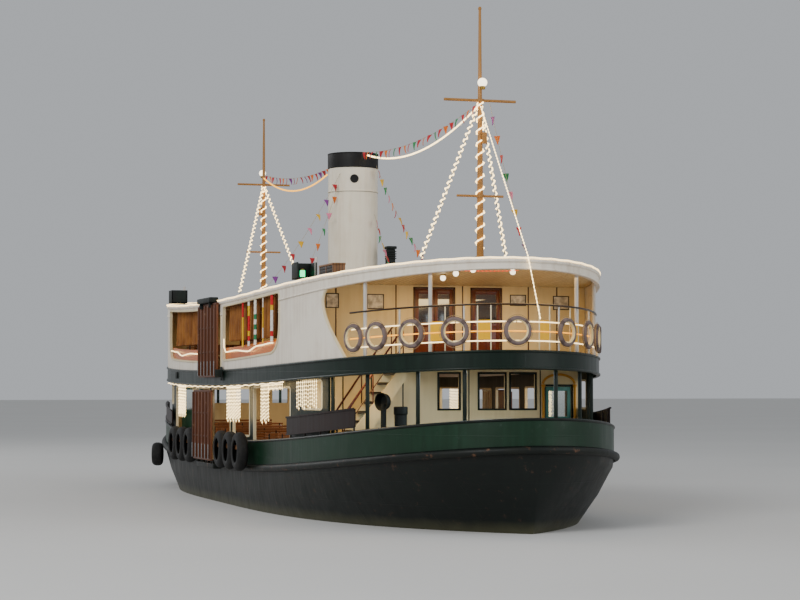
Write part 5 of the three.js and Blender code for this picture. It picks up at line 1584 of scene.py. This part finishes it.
# Deck fittings of the open ends: cast mooring post, round cowl on a stand and a square-shouldered
# ventilator on one deck plate; cast iron painted black, worn bright where ropes run.
POST = (14.1, 0.9)
CAST_IRON = weathered_paint("painted_cast_iron", "17191a", "2c2a28", 0.5, 0.6, None, 0.0, "6f6a62")
post_foot = height(MAIN_DECK, POST[0] + 0.2) + 0.003
bollard = turned("mooring_post_casting_1",
                 [(0.0, 0.0), (0.19, 0.0), (0.19, 0.05), (0.175, 0.065), (0.13, 0.085), (0.12, 0.12),
                  (0.112, 0.35),
                  (0.12, 0.6), (0.15, 0.64), (0.225, 0.665), (0.23, 0.69), (0.22, 0.715), (0.15, 0.72),
                  (0.0, 0.72)],
                 (*POST, post_foot), 48)
# Columns: ends, sides, thickness
GEAR_PLATE = (11.35, 12.0, -2.7, -1.75, 0.03)
COWL = {"place": (11.6, -2.43), "height": 1.47, "radius": 0.24, "depth": 0.2, "heading": -1.08}
VENT = {"place": (11.74, -2.0), "radius": 0.185, "height": 1.34}
x0, x1, y0, y1, thick = GEAR_PLATE
gear_foot = height(MAIN_DECK, x1) + 0.006
cowl_z = gear_foot + COWL["height"]


def cowl_mouth():
    """The round head of the cowl, its mouth hollow, built facing up and then turned."""
    r, half = COWL["radius"], COWL["depth"] / 2
    profile = [(0.0, -half), (r * 0.6, -half), (r * 0.85, -half + 0.03), (r * 0.95, half - 0.03),
               (r, half - 0.01),
               (r, half), (r - 0.02, half), (r * 0.84, half - 0.05), (r * 0.7, -half + 0.04),
               (0.0, -half + 0.03)]
    head = turned("cowl_head", profile, sides=40)
    head.data.transform(Matrix.Translation((*COWL["place"], cowl_z))
                        @ Matrix.Rotation(COWL["heading"], 4, "Z")
                        @ Matrix.Rotation(math.pi / 2, 4, "Y"))
    return head


r, tall = VENT["radius"], VENT["height"]
vent_profile = [(0.0, 0.015), (r - 0.02, 0.015), (r - 0.02, tall - 0.22), (r - 0.004, tall - 0.2),
                (r, tall - 0.18),
                (r, tall - 0.02), (r - 0.02, tall), (0.0, tall)]
gear = tidy_join("deck_ventilators_1", beam("plate", (x0, y0, gear_foot), (x1, y1, gear_foot + thick)),
                 upright("stand", COWL["place"], gear_foot + 0.015, cowl_z - 0.06, 0.075), cowl_mouth(),
                 turned("vent", vent_profile, (*VENT["place"], gear_foot), 32))
fit_pair(bollard, CAST_IRON, "deck_iron", "mooring_post_%s")
fit_pair(gear, SCREEN_BLACK, "deck_iron", "deck_gear_%s")


# Seats: slatted hardwood benches with a common back, on cast iron legs, in rows that face both ways,
# on a planked wooden floor laid over the deck.
# Columns: name, level of the deck, first and last row, rows, half aisle, outer end, node
SEATING = [("upper_saloon", UPPER_DECK, 1.9, 8.9, 6, 0.45, 3.6, "upper_saloon_seats"),
           ("main_cabin", MAIN_DECK, 2.3, 8.9, 5, 0.5, 3.4, "main_cabin_seats")]
SEAT = {"height": 0.43, "back": 0.86}
FLOOR_HALF = 9.45
BENCH_WOOD = planked_wood("varnished_bench_slats", "9a6238", "86542f", 0.5, 1.4, 0.32, math.pi / 2)
SALOON_FLOOR = planked_wood("worn_floor_boards", "7c5c3c", "694c31", 0.1, 3.0, 0.5)
for name, level, first, last, rows, aisle, outer, node in SEATING:
    floor_line = [((x, 0.0), (0.0, 1.0)) for x in [FLOOR_HALF * (i / 40 * 2 - 1) for i in range(41)]]
    flooring = swept(name + "_flooring", floor_line, plate_section(
        -outer - 0.1, outer + 0.1, lifted(level, 0.006), lifted(level, 0.04)), closed=False)
    slats, legs = [], []
    for k in range(4):
        for side in (-1, 1):
            near, far = sorted(side * d for d in (0.035 + 0.068 * k, 0.093 + 0.068 * k))
            slats.append(beam("slat", (near, aisle, SEAT["height"] - 0.025), (far, outer, SEAT["height"]),
                              0.006))
    for z in [SEAT["height"] + 0.1 + 0.085 * k for k in range(4)]:
        slats.append(beam("back", (-0.022, aisle, z), (0.022, outer, z + 0.065), 0.006))
    for y in (aisle + 0.12, (aisle + outer) / 2, outer - 0.12):
        legs.append(beam("foot", (-0.2, y - 0.02, 0.0), (0.2, y + 0.02, 0.03), 0.006))
        legs.append(beam("leg", (-0.028, y - 0.02, 0.02), (0.028, y + 0.02, SEAT["back"] - 0.02), 0.006))
        legs.append(beam("arm", (-0.28, y - 0.018, SEAT["height"] - 0.065),
                         (0.28, y + 0.018, SEAT["height"] - 0.022),
                         0.008))
    places = []
    for x in [first + k * (last - first) / (rows - 1) for k in range(rows)]:
        for end in (-1, 1):
            for turn in (HALF_TURN, IN_PLACE):
                places.append(Matrix.Translation((end * x, 0.0, height(level, x) + 0.042)) @ turn)
    fit(flooring, SALOON_FLOOR, "bench_wood", replaces=[node])
    fit(repeated(name + "_bench_slats", tidy_join("slats", *slats), places), BENCH_WOOD, "bench_wood")
    fit(repeated(name + "_bench_ironwork", tidy_join("legs", *legs), places), CAST_IRON, "deck_iron")


# Propellers: four-bladed manganese bronze on a tapered hub; rudders: balanced steel plates on a
# round stock, painted with the antifouling and fouled along the edges.
PROPELLER_X, SHAFT_Z, STOCK_X = 14.48, -1.62, 15.4


def blade_place(u, v):
    """A point of a twisted, cambered blade: u runs along its radius, v round its section."""
    r = 0.09 + 0.54 * u
    chord = 0.36 * math.sin(math.pi * (0.18 + 0.82 * u)) ** 0.6 + 0.004
    a = v * math.tau
    along, thick = 0.5 * chord * math.cos(a), (0.022 * (1 - u) + 0.004) * math.sin(a)
    pitch = math.atan2(0.55, math.tau * max(r, 0.16)) + 0.12
    across = along * math.cos(pitch) - thick * math.sin(pitch)
    ahead = along * math.sin(pitch) + thick * math.cos(pitch)
    return r * math.cos(across / r), r * math.sin(across / r), ahead


def propeller():
    """Hub and four blades, for end 1."""
    hub = turned("hub",
                 [(0.0, -0.19), (0.125, -0.19), (0.13, -0.15), (0.115, 0.02), (0.075, 0.16), (0.05, 0.19),
                         (0.0, 0.195)], sides=40)
    blades = []
    for k in range(4):
        blade = sheet_of_points("blade", 22, 24, blade_place)
        close_ends(blade)
        bpy.ops.object.shade_smooth_by_angle(angle=math.radians(50))
        blade.data.transform(Matrix.Rotation(k * math.pi / 2 + 0.3, 4, "Z"))
        blades.append(blade)
    whole = tidy_join("propeller_casting_1", hub, *blades)
    whole.data.transform(Matrix.Translation((PROPELLER_X, 0.0, SHAFT_Z))
                         @ Matrix.Rotation(math.pi / 2, 4, "Y"))
    return whole


fore, aft, low, high = STOCK_X - 0.18, STOCK_X + 0.56, -2.21, -0.72
rudder_shape = [(fore, low), (STOCK_X + 0.33, low)] + curve((STOCK_X + 0.33, low), (aft, low), (aft, -1.95),
                                                            6)[1:]
rudder_shape += [(aft, -1.95), (STOCK_X + 0.48, high), (fore, high)]
rudder = prism("rudder_plate", rudder_shape, -0.042, 0.042)
rounding = rudder.modifiers.new("edges", "BEVEL")
rounding.width, rounding.segments, rounding.angle_limit = 0.03, 3, math.radians(50)
bpy.ops.object.modifier_apply(modifier=rounding.name)
bpy.ops.object.shade_smooth_by_angle(angle=math.radians(40))
arms = [beam("arm", (STOCK_X - 0.17, -0.045, z), (STOCK_X + 0.44, 0.045, z + 0.06), 0.006)
        for z in (-1.95, -1.5, -1.05)]
stock = upright("stock", (STOCK_X, 0.0), -1.6, 0.19, 0.065, None, 32)
BRONZE = copper_alloy("cast_manganese_bronze", 7.0, 7.0, "5d4a28", "b28c48", 0.25, 0.6)
fit_pair(propeller(), BRONZE, "bronze", "propeller_%s", "propeller_%s")
fit_pair(tidy_join("rudder_plating_1", rudder, stock, *arms), HULL_PAINT, "hull_paint", "rudder_%s",
         "rudder_%s")


# Light ropes: a warm white rope clipped along the roof edge all round, one under the deck band at the
# side openings, and one sagging in each long window.
roof_line = outline(HOUSE_PLAN, 0, 4, 300)
roof_rope = rope_line("roof_edge_rope_light", [
    (p[0] + n[0] * 0.03, p[1] + n[1] * 0.03, height(lifted(ROOF_EDGE, 0.045), p[0])
     + 0.006 * math.sin(i * 1.3))
    for i, (p, n) in enumerate(roof_line)], 0.021)
fit(roof_rope, WARM_ROPE)
# Columns: place along the window, height
WINDOW_ROPE = [(1.80, 5.04), (1.83, 4.78), (2.1, 4.64), (3.4, 4.67), (4.9, 4.62), (6.0, 4.76), (7.45, 4.82)]
side_ropes = []
for end in (1, -1):
    points = []
    for (xa, za), (xb, zb) in zip(WINDOW_ROPE, WINDOW_ROPE[1:]):
        points += [(xa + (xb - xa) * t, za + (zb - za) * (3 - 2 * t) * t ** 2)
                   for t in [i / 6 for i in range(6)]]
    points = [(end * x, -half_breadth(HOUSE_PLAN, x) - 0.012, z) for x, z in points + WINDOW_ROPE[-1:]]
    side_ropes.append(rope_line("rope", points, 0.02))
for x0, x1 in ((1.45, 8.4), (-8.4, 1.3)):
    points = [(x, -half_breadth(HOUSE_PLAN, x) - 0.03, height(BAND_LOW, x) - 0.03 + 0.012 * math.sin(x * 7))
              for x in [x0 + (x1 - x0) * i / 48 for i in range(49)]]
    side_ropes.append(rope_line("rope", points, 0.016))
fit_pair(tidy_join("side_rope_lights_starboard", *side_ropes), WARM_ROPE, move=OTHER_SIDE)


# Light strings from the funnel to each mast, hung between two fast ends, so they sag; and one from
# the near masthead down to the handrail.
def hung_line(start, stop, sag, steps=40):
    """Points of a line that hangs between two fast ends, lowest by sag under their mean."""
    start, stop = Vector(start), Vector(stop)
    return [start.lerp(stop, i / steps) - Vector((0.0, 0.0, 4 * sag * (i / steps) * (1 - i / steps)))
            for i in range(steps + 1)]


near_string = bead_string("funnel_to_mast_lights_1",
                          hung_line((0.8, 0.24, 10.91), (MAST_X, 0.0, 11.06), 0.58))
far_string = bead_string("funnel_to_mast_lights_2",
                         hung_line((-0.3, -0.78, 10.36), (-MAST_X, 0.0, 11.40), 0.5))
YELLOW_STRING = glowing("yellow_string_light", "ffae1c", 2.0, "e8b84a")
fit(near_string, STRING_LIGHT)
fit(far_string, YELLOW_STRING)


# Curtains of the long windows: brown pleated cloth, gathered on a rod behind each window's head.
def cloth(name, colour, fold):
    """Woven cloth: fine weave, faint wear in patches, a soft edge of light."""
    material, place = new_material(name)
    threads = {"Vector": place, "Scale": 900.0 / 6.28, "Distortion": 0.4}
    warp, weft = (add_node(material, "TexWave", threads, bands_direction=way).outputs["Fac"] for way in "XZ")
    weave = add_node(material, "Math", {0: warp, 1: weft}, operation="MULTIPLY").outputs["Value"]
    worn = ranged(material, noise(material, place, 2.2, 4.0), 0.0, 1.0, 0.35, 0.65)
    return shaded(material, {"Base Color": blended(material, worn, colour, fold), "Roughness": 0.92,
                             "Sheen Weight": 0.15, "Normal": bumped(material, weave, 0.25, 0.001)})


CURTAIN = cloth("gold_brown_curtain_cloth", "9c6528", "7c4a1c")


def pleated(name, x0, x1, low, top, pleats, depth, away):
    """A gathered curtain along a side, its pleats deepest at the hem, and its cut width."""
    steps = pleats * 10

    def offset(u, v):
        swing = depth * (0.45 + 0.55 * v)
        return swing * math.sin(u * pleats * math.tau) + 0.3 * swing * math.sin(u * pleats * 2.7 + 1.0)

    def place(u, v):
        x = x0 + (x1 - x0) * u
        return x, -half_breadth(HOUSE_PLAN, x) + away + offset(u, v), top(x) + (low - top(x)) * v
    piece = thickened(sheet_of_points(name, steps, 14, place), 0.002)
    middle = [Vector(place(i / steps, 0.5)) for i in range(steps + 1)]
    width = sum((b - a).length for a, b in zip(middle, middle[1:]))
    return piece, width


def window_head(x):
    return height(UPPER_WINDOW["head"], x) + 0.02


WINDOW_LOW = 4.97
# Columns: from, to, pleats
CURTAINS = [(1.70, 3.98, 17), (4.24, 5.48, 10), (5.72, 7.16, 11)]
rods = []
for end, turn in ((1, IN_PLACE), (-1, OTHER_END)):
    for side, mirror in ((1, IN_PLACE), (-1, OTHER_SIDE)):
        move = turn @ mirror
        for k, (x0, x1, pleats) in enumerate(CURTAINS):
            name = "window_curtain_%d_%d_%d" % (end + 1, side + 1, k)
            piece, width = pleated(name, x0, x1, WINDOW_LOW, window_head, pleats, 0.062, 0.2)
            piece.data.transform(move)
            if move.determinant() < 0:
                piece.data.flip_normals()
            fit(piece, CURTAIN, "varnished_wood")
            round(window_head((x0 + x1) / 2) - WINDOW_LOW, 3)
        points = [(end * x, side * (half_breadth(HOUSE_PLAN, x) - 0.19), window_head(x) + 0.02)
                  for x in [1.66 + 0.5 * i for i in range(13)]]
        rods.append(rope_line("rod", points, 0.012))
fit(tidy_join("curtain_rods", *rods), BRASS, "bronze")


# Paper streamers in the long windows: twisted crepe ribbons in festive colours, pinned under the head of
# the window and tied above the rail, on the starboard side of end 1 and the port side of end 2.
def paper(name, colour):
    """Crepe paper with a fine crinkle."""
    material, place = new_material(name)
    crinkle = noise(material, place, 160.0, 3.0)
    tone = add_node(material, "HueSaturation",
                    {"Color": linear(colour), "Value": ranged(material, crinkle, 0.75, 1.15)})
    return shaded(material, {"Base Color": tone.outputs["Color"], "Roughness": 0.85,
                             "Normal": bumped(material, crinkle, 0.5, 0.002)})


PAPERS = [paper("red_crepe_paper", "d8232a"), paper("yellow_crepe_paper", "f2c41c"),
          paper("white_crepe_paper", "f4efe4"),
          paper("green_crepe_paper", "2f8a5b")]
# Columns: place along the window, width, the colours from the top down
STREAMERS = [(4.14, 0.10, [0, 0, 0, 1, 1, 1, 1, 1, 1]), (4.87, 0.13, [2, 1, 1, 0, 0, 0, 1, 0, 2]),
             (5.60, 0.16, [2, 2, 2, 3, 2, 3, 2, 3, 2]), (6.39, 0.06, [2, 2, 1, 1, 1, 1, 2, 2, 1]),
             (7.25, 0.16, [0, 0, 1, 2, 2, 2, 2, 0, 2])]


def streamer_turn():
    """One length of a crepe ribbon, pleated and twisted about its own middle."""
    def place(u, v):
        a = u * math.tau
        r = 0.5 * (0.72 + 0.28 * math.cos(4 * a + 5 * v)) * (0.82 + 0.18 * math.cos(math.tau * v))
        return r * math.cos(a), 0.6 * r * math.sin(a), v - 0.5
    piece = sheet_of_points("turn", 24, 10, place)
    close_ends(piece)
    return piece


streamer_places, streamer_colours = [], []
for x, width, colours in STREAMERS:
    for k, colour in enumerate(colours):
        at = Vector((x, -half_breadth(HOUSE_PLAN, x) + 0.03, window_head(x) - 0.09 - 0.146 * k))
        streamer_places.append(Matrix.Translation(at) @ Matrix.Diagonal((width, width, 0.15, 1.0)))
        streamer_colours.append(colour)
streamers = repeated("paper_streamers_1", streamer_turn(), streamer_places, streamer_colours)
for piece in (streamers, turned_copy(streamers, "paper_streamers_2", HALF_TURN)):
    kinds = [face.material_index for face in piece.data.polygons]
    fit(piece, PAPERS[0])
    for material in PAPERS[1:]:
        piece.data.materials.append(material)
    piece.data.polygons.foreach_set("material_index", kinds)

# A varnished ledge inside the foot of each long window
LEDGE_WOOD = planked_wood("honey_varnished_ledge", "cf6f14", "b4590c", 0.3, 2.4, 0.3)
ledges = []
for end in (1, -1):
    ledge_line = [((end * x, -half_breadth(HOUSE_PLAN, x)), (0.0, -1.0))
                  for x in [1.66 + 6.2 * i / 24 for i in range(25)]]
    ledges.append(swept("ledge", ledge_line, plate_section(-0.08, -0.14, (4.32, 0.003), (4.76, 0.003)),
                        closed=False))
fit_pair(tidy_join("window_ledges_starboard", *ledges), LEDGE_WOOD, "varnished_wood", move=OTHER_SIDE)

# Ironwork on the deck band beside each upper gangway: a hoist block on a cleat plate, and a scupper hatch
BLOCK_X, BLOCK_Z, HATCH_X = 1.62, 3.98, -5.9
band_y = -half_breadth(HOUSE_PLAN, BLOCK_X) - 0.045
hatch_y = -half_breadth(HOUSE_PLAN, HATCH_X) - 0.03
cheeks = [beam("cheek", (x - 0.012, band_y - 0.2, BLOCK_Z - 0.1), (x + 0.012, band_y, BLOCK_Z + 0.14), 0.03,
               4)
          for x in (BLOCK_X - 0.05, BLOCK_X + 0.05)]
ironwork = tidy_join(
    "hoist_block_and_hatch_starboard",
    beam("plate", (BLOCK_X - 0.11, band_y - 0.02, BLOCK_Z - 0.2),
         (BLOCK_X + 0.11, band_y + 0.01, BLOCK_Z + 0.22), 0.006),
    *cheeks,
    pole("sheave", (BLOCK_X - 0.04, band_y - 0.11, BLOCK_Z + 0.03),
         (BLOCK_X + 0.04, band_y - 0.11, BLOCK_Z + 0.03), 0.075,
         None, 24),
    beam("hatch", (HATCH_X - 0.14, hatch_y - 0.02, 3.86), (HATCH_X + 0.14, hatch_y + 0.02, 4.08), 0.012))
fit_pair(ironwork, SCREEN_BLACK, "deck_iron")


# Light curtains of the main deck: vertical strings of small lamps hung from the foot of the deck
# band across the side openings.
# Columns: from, to (along the starboard side), drop
LIGHT_CURTAINS = [(-5.9, -4.5, 1.1), (2.02, 3.76, 1.1), (6.18, 6.9, 1.15), (6.9, 8.1, 0.22), (9.2, 10.4, 0.8)]
bpy.ops.object.select_all(action="DESELECT")
bpy.ops.mesh.primitive_ico_sphere_add(subdivisions=1, radius=0.02)
lamp = bpy.context.object
strand_places, lamp_places = [], []
for x0, x1, drop in LIGHT_CURTAINS:
    count = max(2, round((x1 - x0) / 0.12))
    for k in range(count + 1):
        x = x0 + (x1 - x0) * k / count
        y, top = -half_breadth(HOUSE_PLAN, x) + 0.045, height(BAND_LOW, x) - 0.02
        hang = drop * (0.93 + 0.07 * math.sin(k * 2.1))
        strand_places.append(Matrix.Translation((x, y, top)) @ Matrix.Scale(hang, 4, (0.0, 0.0, 1.0)))
        n = max(2, round(hang / 0.1))
        lamp_places += [Matrix.Translation((x, y, top - hang * (i + 0.5) / n)) for i in range(n)]
strand = beam("strand", (-0.003, -0.003, -1.0), (0.003, 0.003, 0.0), 0.001, 1)
light_curtains = tidy_join("light_curtains_starboard", repeated("lamps", lamp, lamp_places),
                           repeated("strands", strand, strand_places))
fit_pair(light_curtains, STRING_LIGHT)


# Fittings of the end bulkheads: framed prints with plain tonal sheets, globe lamps under
# the roof with a row of small red bulbs, tube lights under the upper deck, and a gilt arch round the
# main deck door.
# Columns: from, to (across the ship), foot, head
PRINTS = [(-3.487, -3.118, 5.73, 6.13), (-2.326, -1.843, 5.71, 6.12), (1.807, 2.280, 5.84, 6.15),
          (3.084, 3.563, 5.74, 6.13)]


def print_sheet():
    """A faded tonal print on cream paper: a soft horizon and clouds of wash, nothing more."""
    material, place = new_material("faded_tonal_print")
    wash = noise(material, place, 7.0, 5.0)
    return shaded(material,
                  {"Base Color": toned(material, wash, "a9a595", "efe9d6", 0.35, 0.6), "Roughness": 0.25})


BAR = 0.025
frames, sheets = [], []
wall_x = END_WALL_X + WALL
for y0, y1, z0, z1 in PRINTS:
    for ya, yb, za, zb in ((y0, y0 + BAR, z0, z1), (y1 - BAR, y1, z0, z1), (y0, y1, z0, z0 + BAR),
                           (y0, y1, z1 - BAR, z1)):
        frames.append(beam("bar", (wall_x, ya, za), (wall_x + 0.02, yb, zb), 0.004))
    sheets.append(beam("sheet", (wall_x + 0.001, y0 + 0.01, z0 + 0.01), (wall_x + 0.01, y1 - 0.01, z1 - 0.01),
                       0.001, 1))
DARK_FRAME = planked_wood("ebonised_frame_wood", "2a1a12", "1d120c", 0.3, 1.0, 0.35, math.pi / 2)
fit_pair(tidy_join("print_frames_1", *frames), DARK_FRAME, "varnished_wood")
fit_pair(tidy_join("prints_1", *sheets), print_sheet())

# Columns: distance from amidships, across the ship
GLOBES = [(12.5, -1.08), (13.5, -1.06), (14.3, -0.87), (14.0, 0.31)]
globes, cups = [], []
for x, y in GLOBES:
    at = (x, y, height(ROOF_LOW, x) - 0.02)
    profile = [(0.075 * math.cos(a), -0.1 + 0.075 * math.sin(a)) for a in half_circle(12)]
    globes.append(turned("globe", profile, at, 28))
    cups.append(turned("cup", [(0.0, 0.0), (0.06, 0.0), (0.055, -0.035), (0.035, -0.04), (0.0, -0.04)], at,
                       24))
fit_pair(tidy_join("ceiling_globes_1", *globes), LAMP_WHITE)
fit_pair(tidy_join("ceiling_globe_cups_1", *cups), BRASS, "bronze")
RED_BULB = glowing("red_bulb_string", "ff4a22", 2.2, "c2402c")
bulb_line = hung_line((14.3, -1.94, 6.56), (14.3, 0.36, 6.56), 0.03, 12)
fit_pair(bead_string("red_bulb_string_1", bulb_line, 0.004, 0.018, 0.11), RED_BULB)

# Columns: distance from amidships of the tray, its two ends, distance where its height is read
TUBE_TRAYS = [(14.5, -1.2, 0.37, 14.55), (12.2, -0.8, 0.8, 12.2)]
TUBE_LIGHT = glowing("cool_tube_light", "dff4ff", 7.0, "f2f6f8")
trays, tubes = [], []
for x, y0, y1, level_x in TUBE_TRAYS:
    z = height(UPPER_DECK_LOW, level_x) - 0.02
    trays.append(beam("tray", (x, y0, z - 0.04), (x + 0.12, y1, z), 0.01))
    tubes.append(pole("tube", (x + 0.06, y0 + 0.04, z - 0.062), (x + 0.06, y1 - 0.04, z - 0.062), 0.02))
fit_pair(tidy_join("tube_light_trays_1", *trays), CEILING, "white_paint")
fit_pair(tidy_join("tube_lights_1", *tubes), TUBE_LIGHT)

GILT = weathered_paint("worn_gilt_paint", "d79a3a", "b3702a", 0.35, 0.5, None, 0.0, "8a5a24")
ARCH = {"y": 3.235, "half": 0.47, "spring": 2.1, "rise": 0.26}
spring = ARCH["spring"]
profile = [(0.0, 0.0), (0.06, 0.0), (0.06, 0.08), (0.042, 0.12), (0.036, spring - 0.12),
           (0.05, spring - 0.08),
           (0.06, spring - 0.02), (0.0, spring)]
arch = [turned("pillar", profile, (wall_x + 0.075, ARCH["y"] + side * ARCH["half"], MAIN_FLOOR), 24)
        for side in (-1, 1)]
arch_line = [Vector((wall_x + 0.05, ARCH["y"] + ARCH["half"] * math.cos(a),
                     MAIN_FLOOR + spring + ARCH["rise"] * math.sin(a)))
             for a in [math.pi * i / 24 for i in range(25)]]
fit_pair(tidy_join("gilt_arch_1", *arch, rope_line("arch", arch_line, 0.035, 12)), GILT)


# Panels in the end rails: yellow enamelled plates between pairs of cream stanchions.
YELLOW_PANEL = weathered_paint("yellow_panel_enamel", "f5b800", "e09a00", 0.4, 0.4)
# Columns: from, to (across the ship)
RAIL_PANELS = [(0.67, 1.0), (1.74, 2.08)]


def outline_x(plan, y):
    """How far from amidships an outline is at a place across the ship."""
    return plan[0] * (1 - (y / plan[1]) ** 2) ** (1 / FULLNESS)


plates, pairs = [], []
panel_section = plate_section(-0.087, -0.099, lifted(BAND_TOP, 0.27), lifted(BAND_TOP, 0.76))
for side in (-1, 1):
    for y0, y1 in RAIL_PANELS:
        line = []
        for y in [y0 + (y1 - y0) * i / 8 for i in range(9)]:
            point, normal = on_outline(HOUSE_PLAN, outline_x(HOUSE_PLAN, y), side)
            line.append((tuple(point), tuple(normal)))
        plates.append(swept("panel", line, panel_section, closed=False))
        for (px, py), (nx, ny) in (line[0], line[-1]):
            pairs.append(upright("stanchion", (px - nx * 0.1, py - ny * 0.1), height(UPPER_DECK, px) + 0.01,
                                 height(BAND_TOP, px) + HANDRAIL, 0.018, None, 12))
fit_pair(tidy_join("rail_panels_1", *plates), YELLOW_PANEL, "cream_paint")
fit_pair(tidy_join("rail_panel_stanchions_1", *pairs), FRAME_PAINT, "cream_paint")


# Bunting: tapes of small three-cornered flags from the funnel to the roof and the mastheads.
FLAG, FLAG_DROP, FLAG_PITCH = 0.2, 0.23, 0.48
# Columns: name, start, stop, sag, the colours in turn
BUNTING = [
    ("bunting_a", (0.55, -0.57, 10.33), (1.22, -3.2, 6.58), 0.25, [0, 6, 1, 4, 1, 0]),
    ("bunting_b", (0.5, -0.62, 9.97), (1.15, -2.05, 6.66), 0.15, [5, 4, 3, 5, 0]),
    ("bunting_c", (0.5, 0.62, 10.64), (7.6, 0.3, 6.88), 0.35, [0, 1, 3, 4, 5, 0, 1]),
    ("bunting_d", (0.55, 0.57, 9.05), (5.0, -0.12, 6.8), 0.2, [4, 0, 3, 1]),
    ("bunting_e", (MAST_X, 0.27, 11.1), (13.5, 0.81, 7.16), 0.1, [6, 5, 0, 3, 4, 1, 0]),
    ("bunting_f", (MAST_X - 0.1, 0.0, 11.1), (0.8, 0.1, 11.0), 0.35, [0, 5, 0, 3]),
    ("bunting_g", (-MAST_X + 0.1, 0.0, 11.5), (-0.8, 0.1, 11.0), 0.35, [0, 5, 0, 6]),
]


def flag_place(u, v):
    """A point of a three-cornered flag, a little curled."""
    x = (u - 0.5) * FLAG * (1 - v * 0.98)
    return x, 0.03 * math.sin(v * 2.6) + 0.02 * math.sin(3 * u), -v * FLAG_DROP


def flag_string(name, start, stop, sag, colours):
    """A tape with its flags, each turned a little by the wind, and their number."""
    line = hung_line(start, stop, sag, 60)
    tape = rope_line(name + "_tape", line, 0.005, 6)
    heading = Vector(stop) - Vector(start)
    count = int(heading.length / FLAG_PITCH)
    turn = math.atan2(heading.y, heading.x)
    rng = random.Random(name)
    places = []
    for k in range(count):
        t = (k + 0.7) / count * 60
        at = line[int(t)].lerp(line[min(60, int(t) + 1)], t % 1)
        places.append(Matrix.Translation(at) @ Matrix.Rotation(turn + rng.uniform(-0.5, 0.5), 4, "Z")
                      @ Matrix.Rotation(rng.uniform(-0.35, 0.35), 4, "X"))
    model = thickened(sheet_of_points("flag", 6, 8, flag_place), 0.0015)
    return tape, repeated(name + "_flags", model, places,
                          [colours[k % len(colours)] for k in range(count)]), count


FLAG_CLOTHS = [cloth(name + "_flag_cloth", colour, fold) for name, colour, fold in (
    ("red", "c8202a", "a5161f"), ("yellow", "f0c020", "d6a414"), ("white", "efe9dc", "d8d0c0"),
    ("green", "2c9152", "1f7440"), ("pink", "ea86a4", "d56b8c"), ("orange", "ee7c1c", "d06410"),
    ("purple", "8a3f92", "702f78"))]
for name, start, stop, sag, colours in BUNTING:
    tape, flags, count = flag_string(name, start, stop, sag, colours)
    fit(tape, HEMP)
    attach(flags, "root")
    for material in FLAG_CLOTHS:
        flags.data.materials.append(material)


# Taut light string from the near masthead over the roof edge to the end rail.
TAUT_LINE = [(MAST_X, 0.0, 11.06), (15.27, 0.25, 6.88), (15.25, 0.4, 6.2), (15.16, 0.62, 5.3)]
fit(bead_string("mast_to_rail_lights", [Vector(p) for p in TAUT_LINE], 0.01, 0.022, 0.1), STRING_LIGHT)


# Lamps of the ship: the light that its own fittings throw inside, warm in the saloon and on the end
# decks, cool under the tube lights.
# Columns: name, place, length and width, power, colour
SHIP_LAMPS = [
    ("saloon_glow", (0.0, 0.0, 6.05), (17.0, 3.0), 260.0, "ffd9a0"),
    ("cabin_glow", (0.0, 0.0, 3.82), (17.0, 3.0), 200.0, "ffd6a0"),
    ("upper_end_glow_1", (12.6, 0.0, 6.40), (3.5, 4.0), 150.0, "ffd28c"),
    ("upper_end_glow_2", (-12.6, 0.0, 6.40), (3.5, 4.0), 150.0, "ffd28c"),
    ("main_end_glow_1", (13.2, -0.4, 4.10), (2.2, 1.6), 110.0, "e8f4ff"),
    ("main_end_glow_2", (-13.2, 0.4, 4.10), (2.2, 1.6), 110.0, "e8f4ff"),
    ("stair_glow_1", (11.4, -3.0, 4.0), (0.8, 0.8), 30.0, "ffcf8a"),
    ("stair_glow_2", (-11.4, 3.0, 4.0), (0.8, 0.8), 30.0, "ffcf8a"),
]
for name, place, (long_side, wide_side), power, colour in SHIP_LAMPS:
    bpy.ops.object.light_add(type="AREA", location=place)
    lamp = bpy.context.object
    lamp.name = name
    lamp.data.shape = "RECTANGLE"
    lamp.data.size, lamp.data.size_y = long_side, wide_side
    lamp.data.energy = power
    lamp.data.color = linear(colour)[:3]
    lamp.visible_camera = False


low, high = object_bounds()
{"cad": [list(cad_box[0]), list(cad_box[1])], "scene": [list(low), list(high)]}
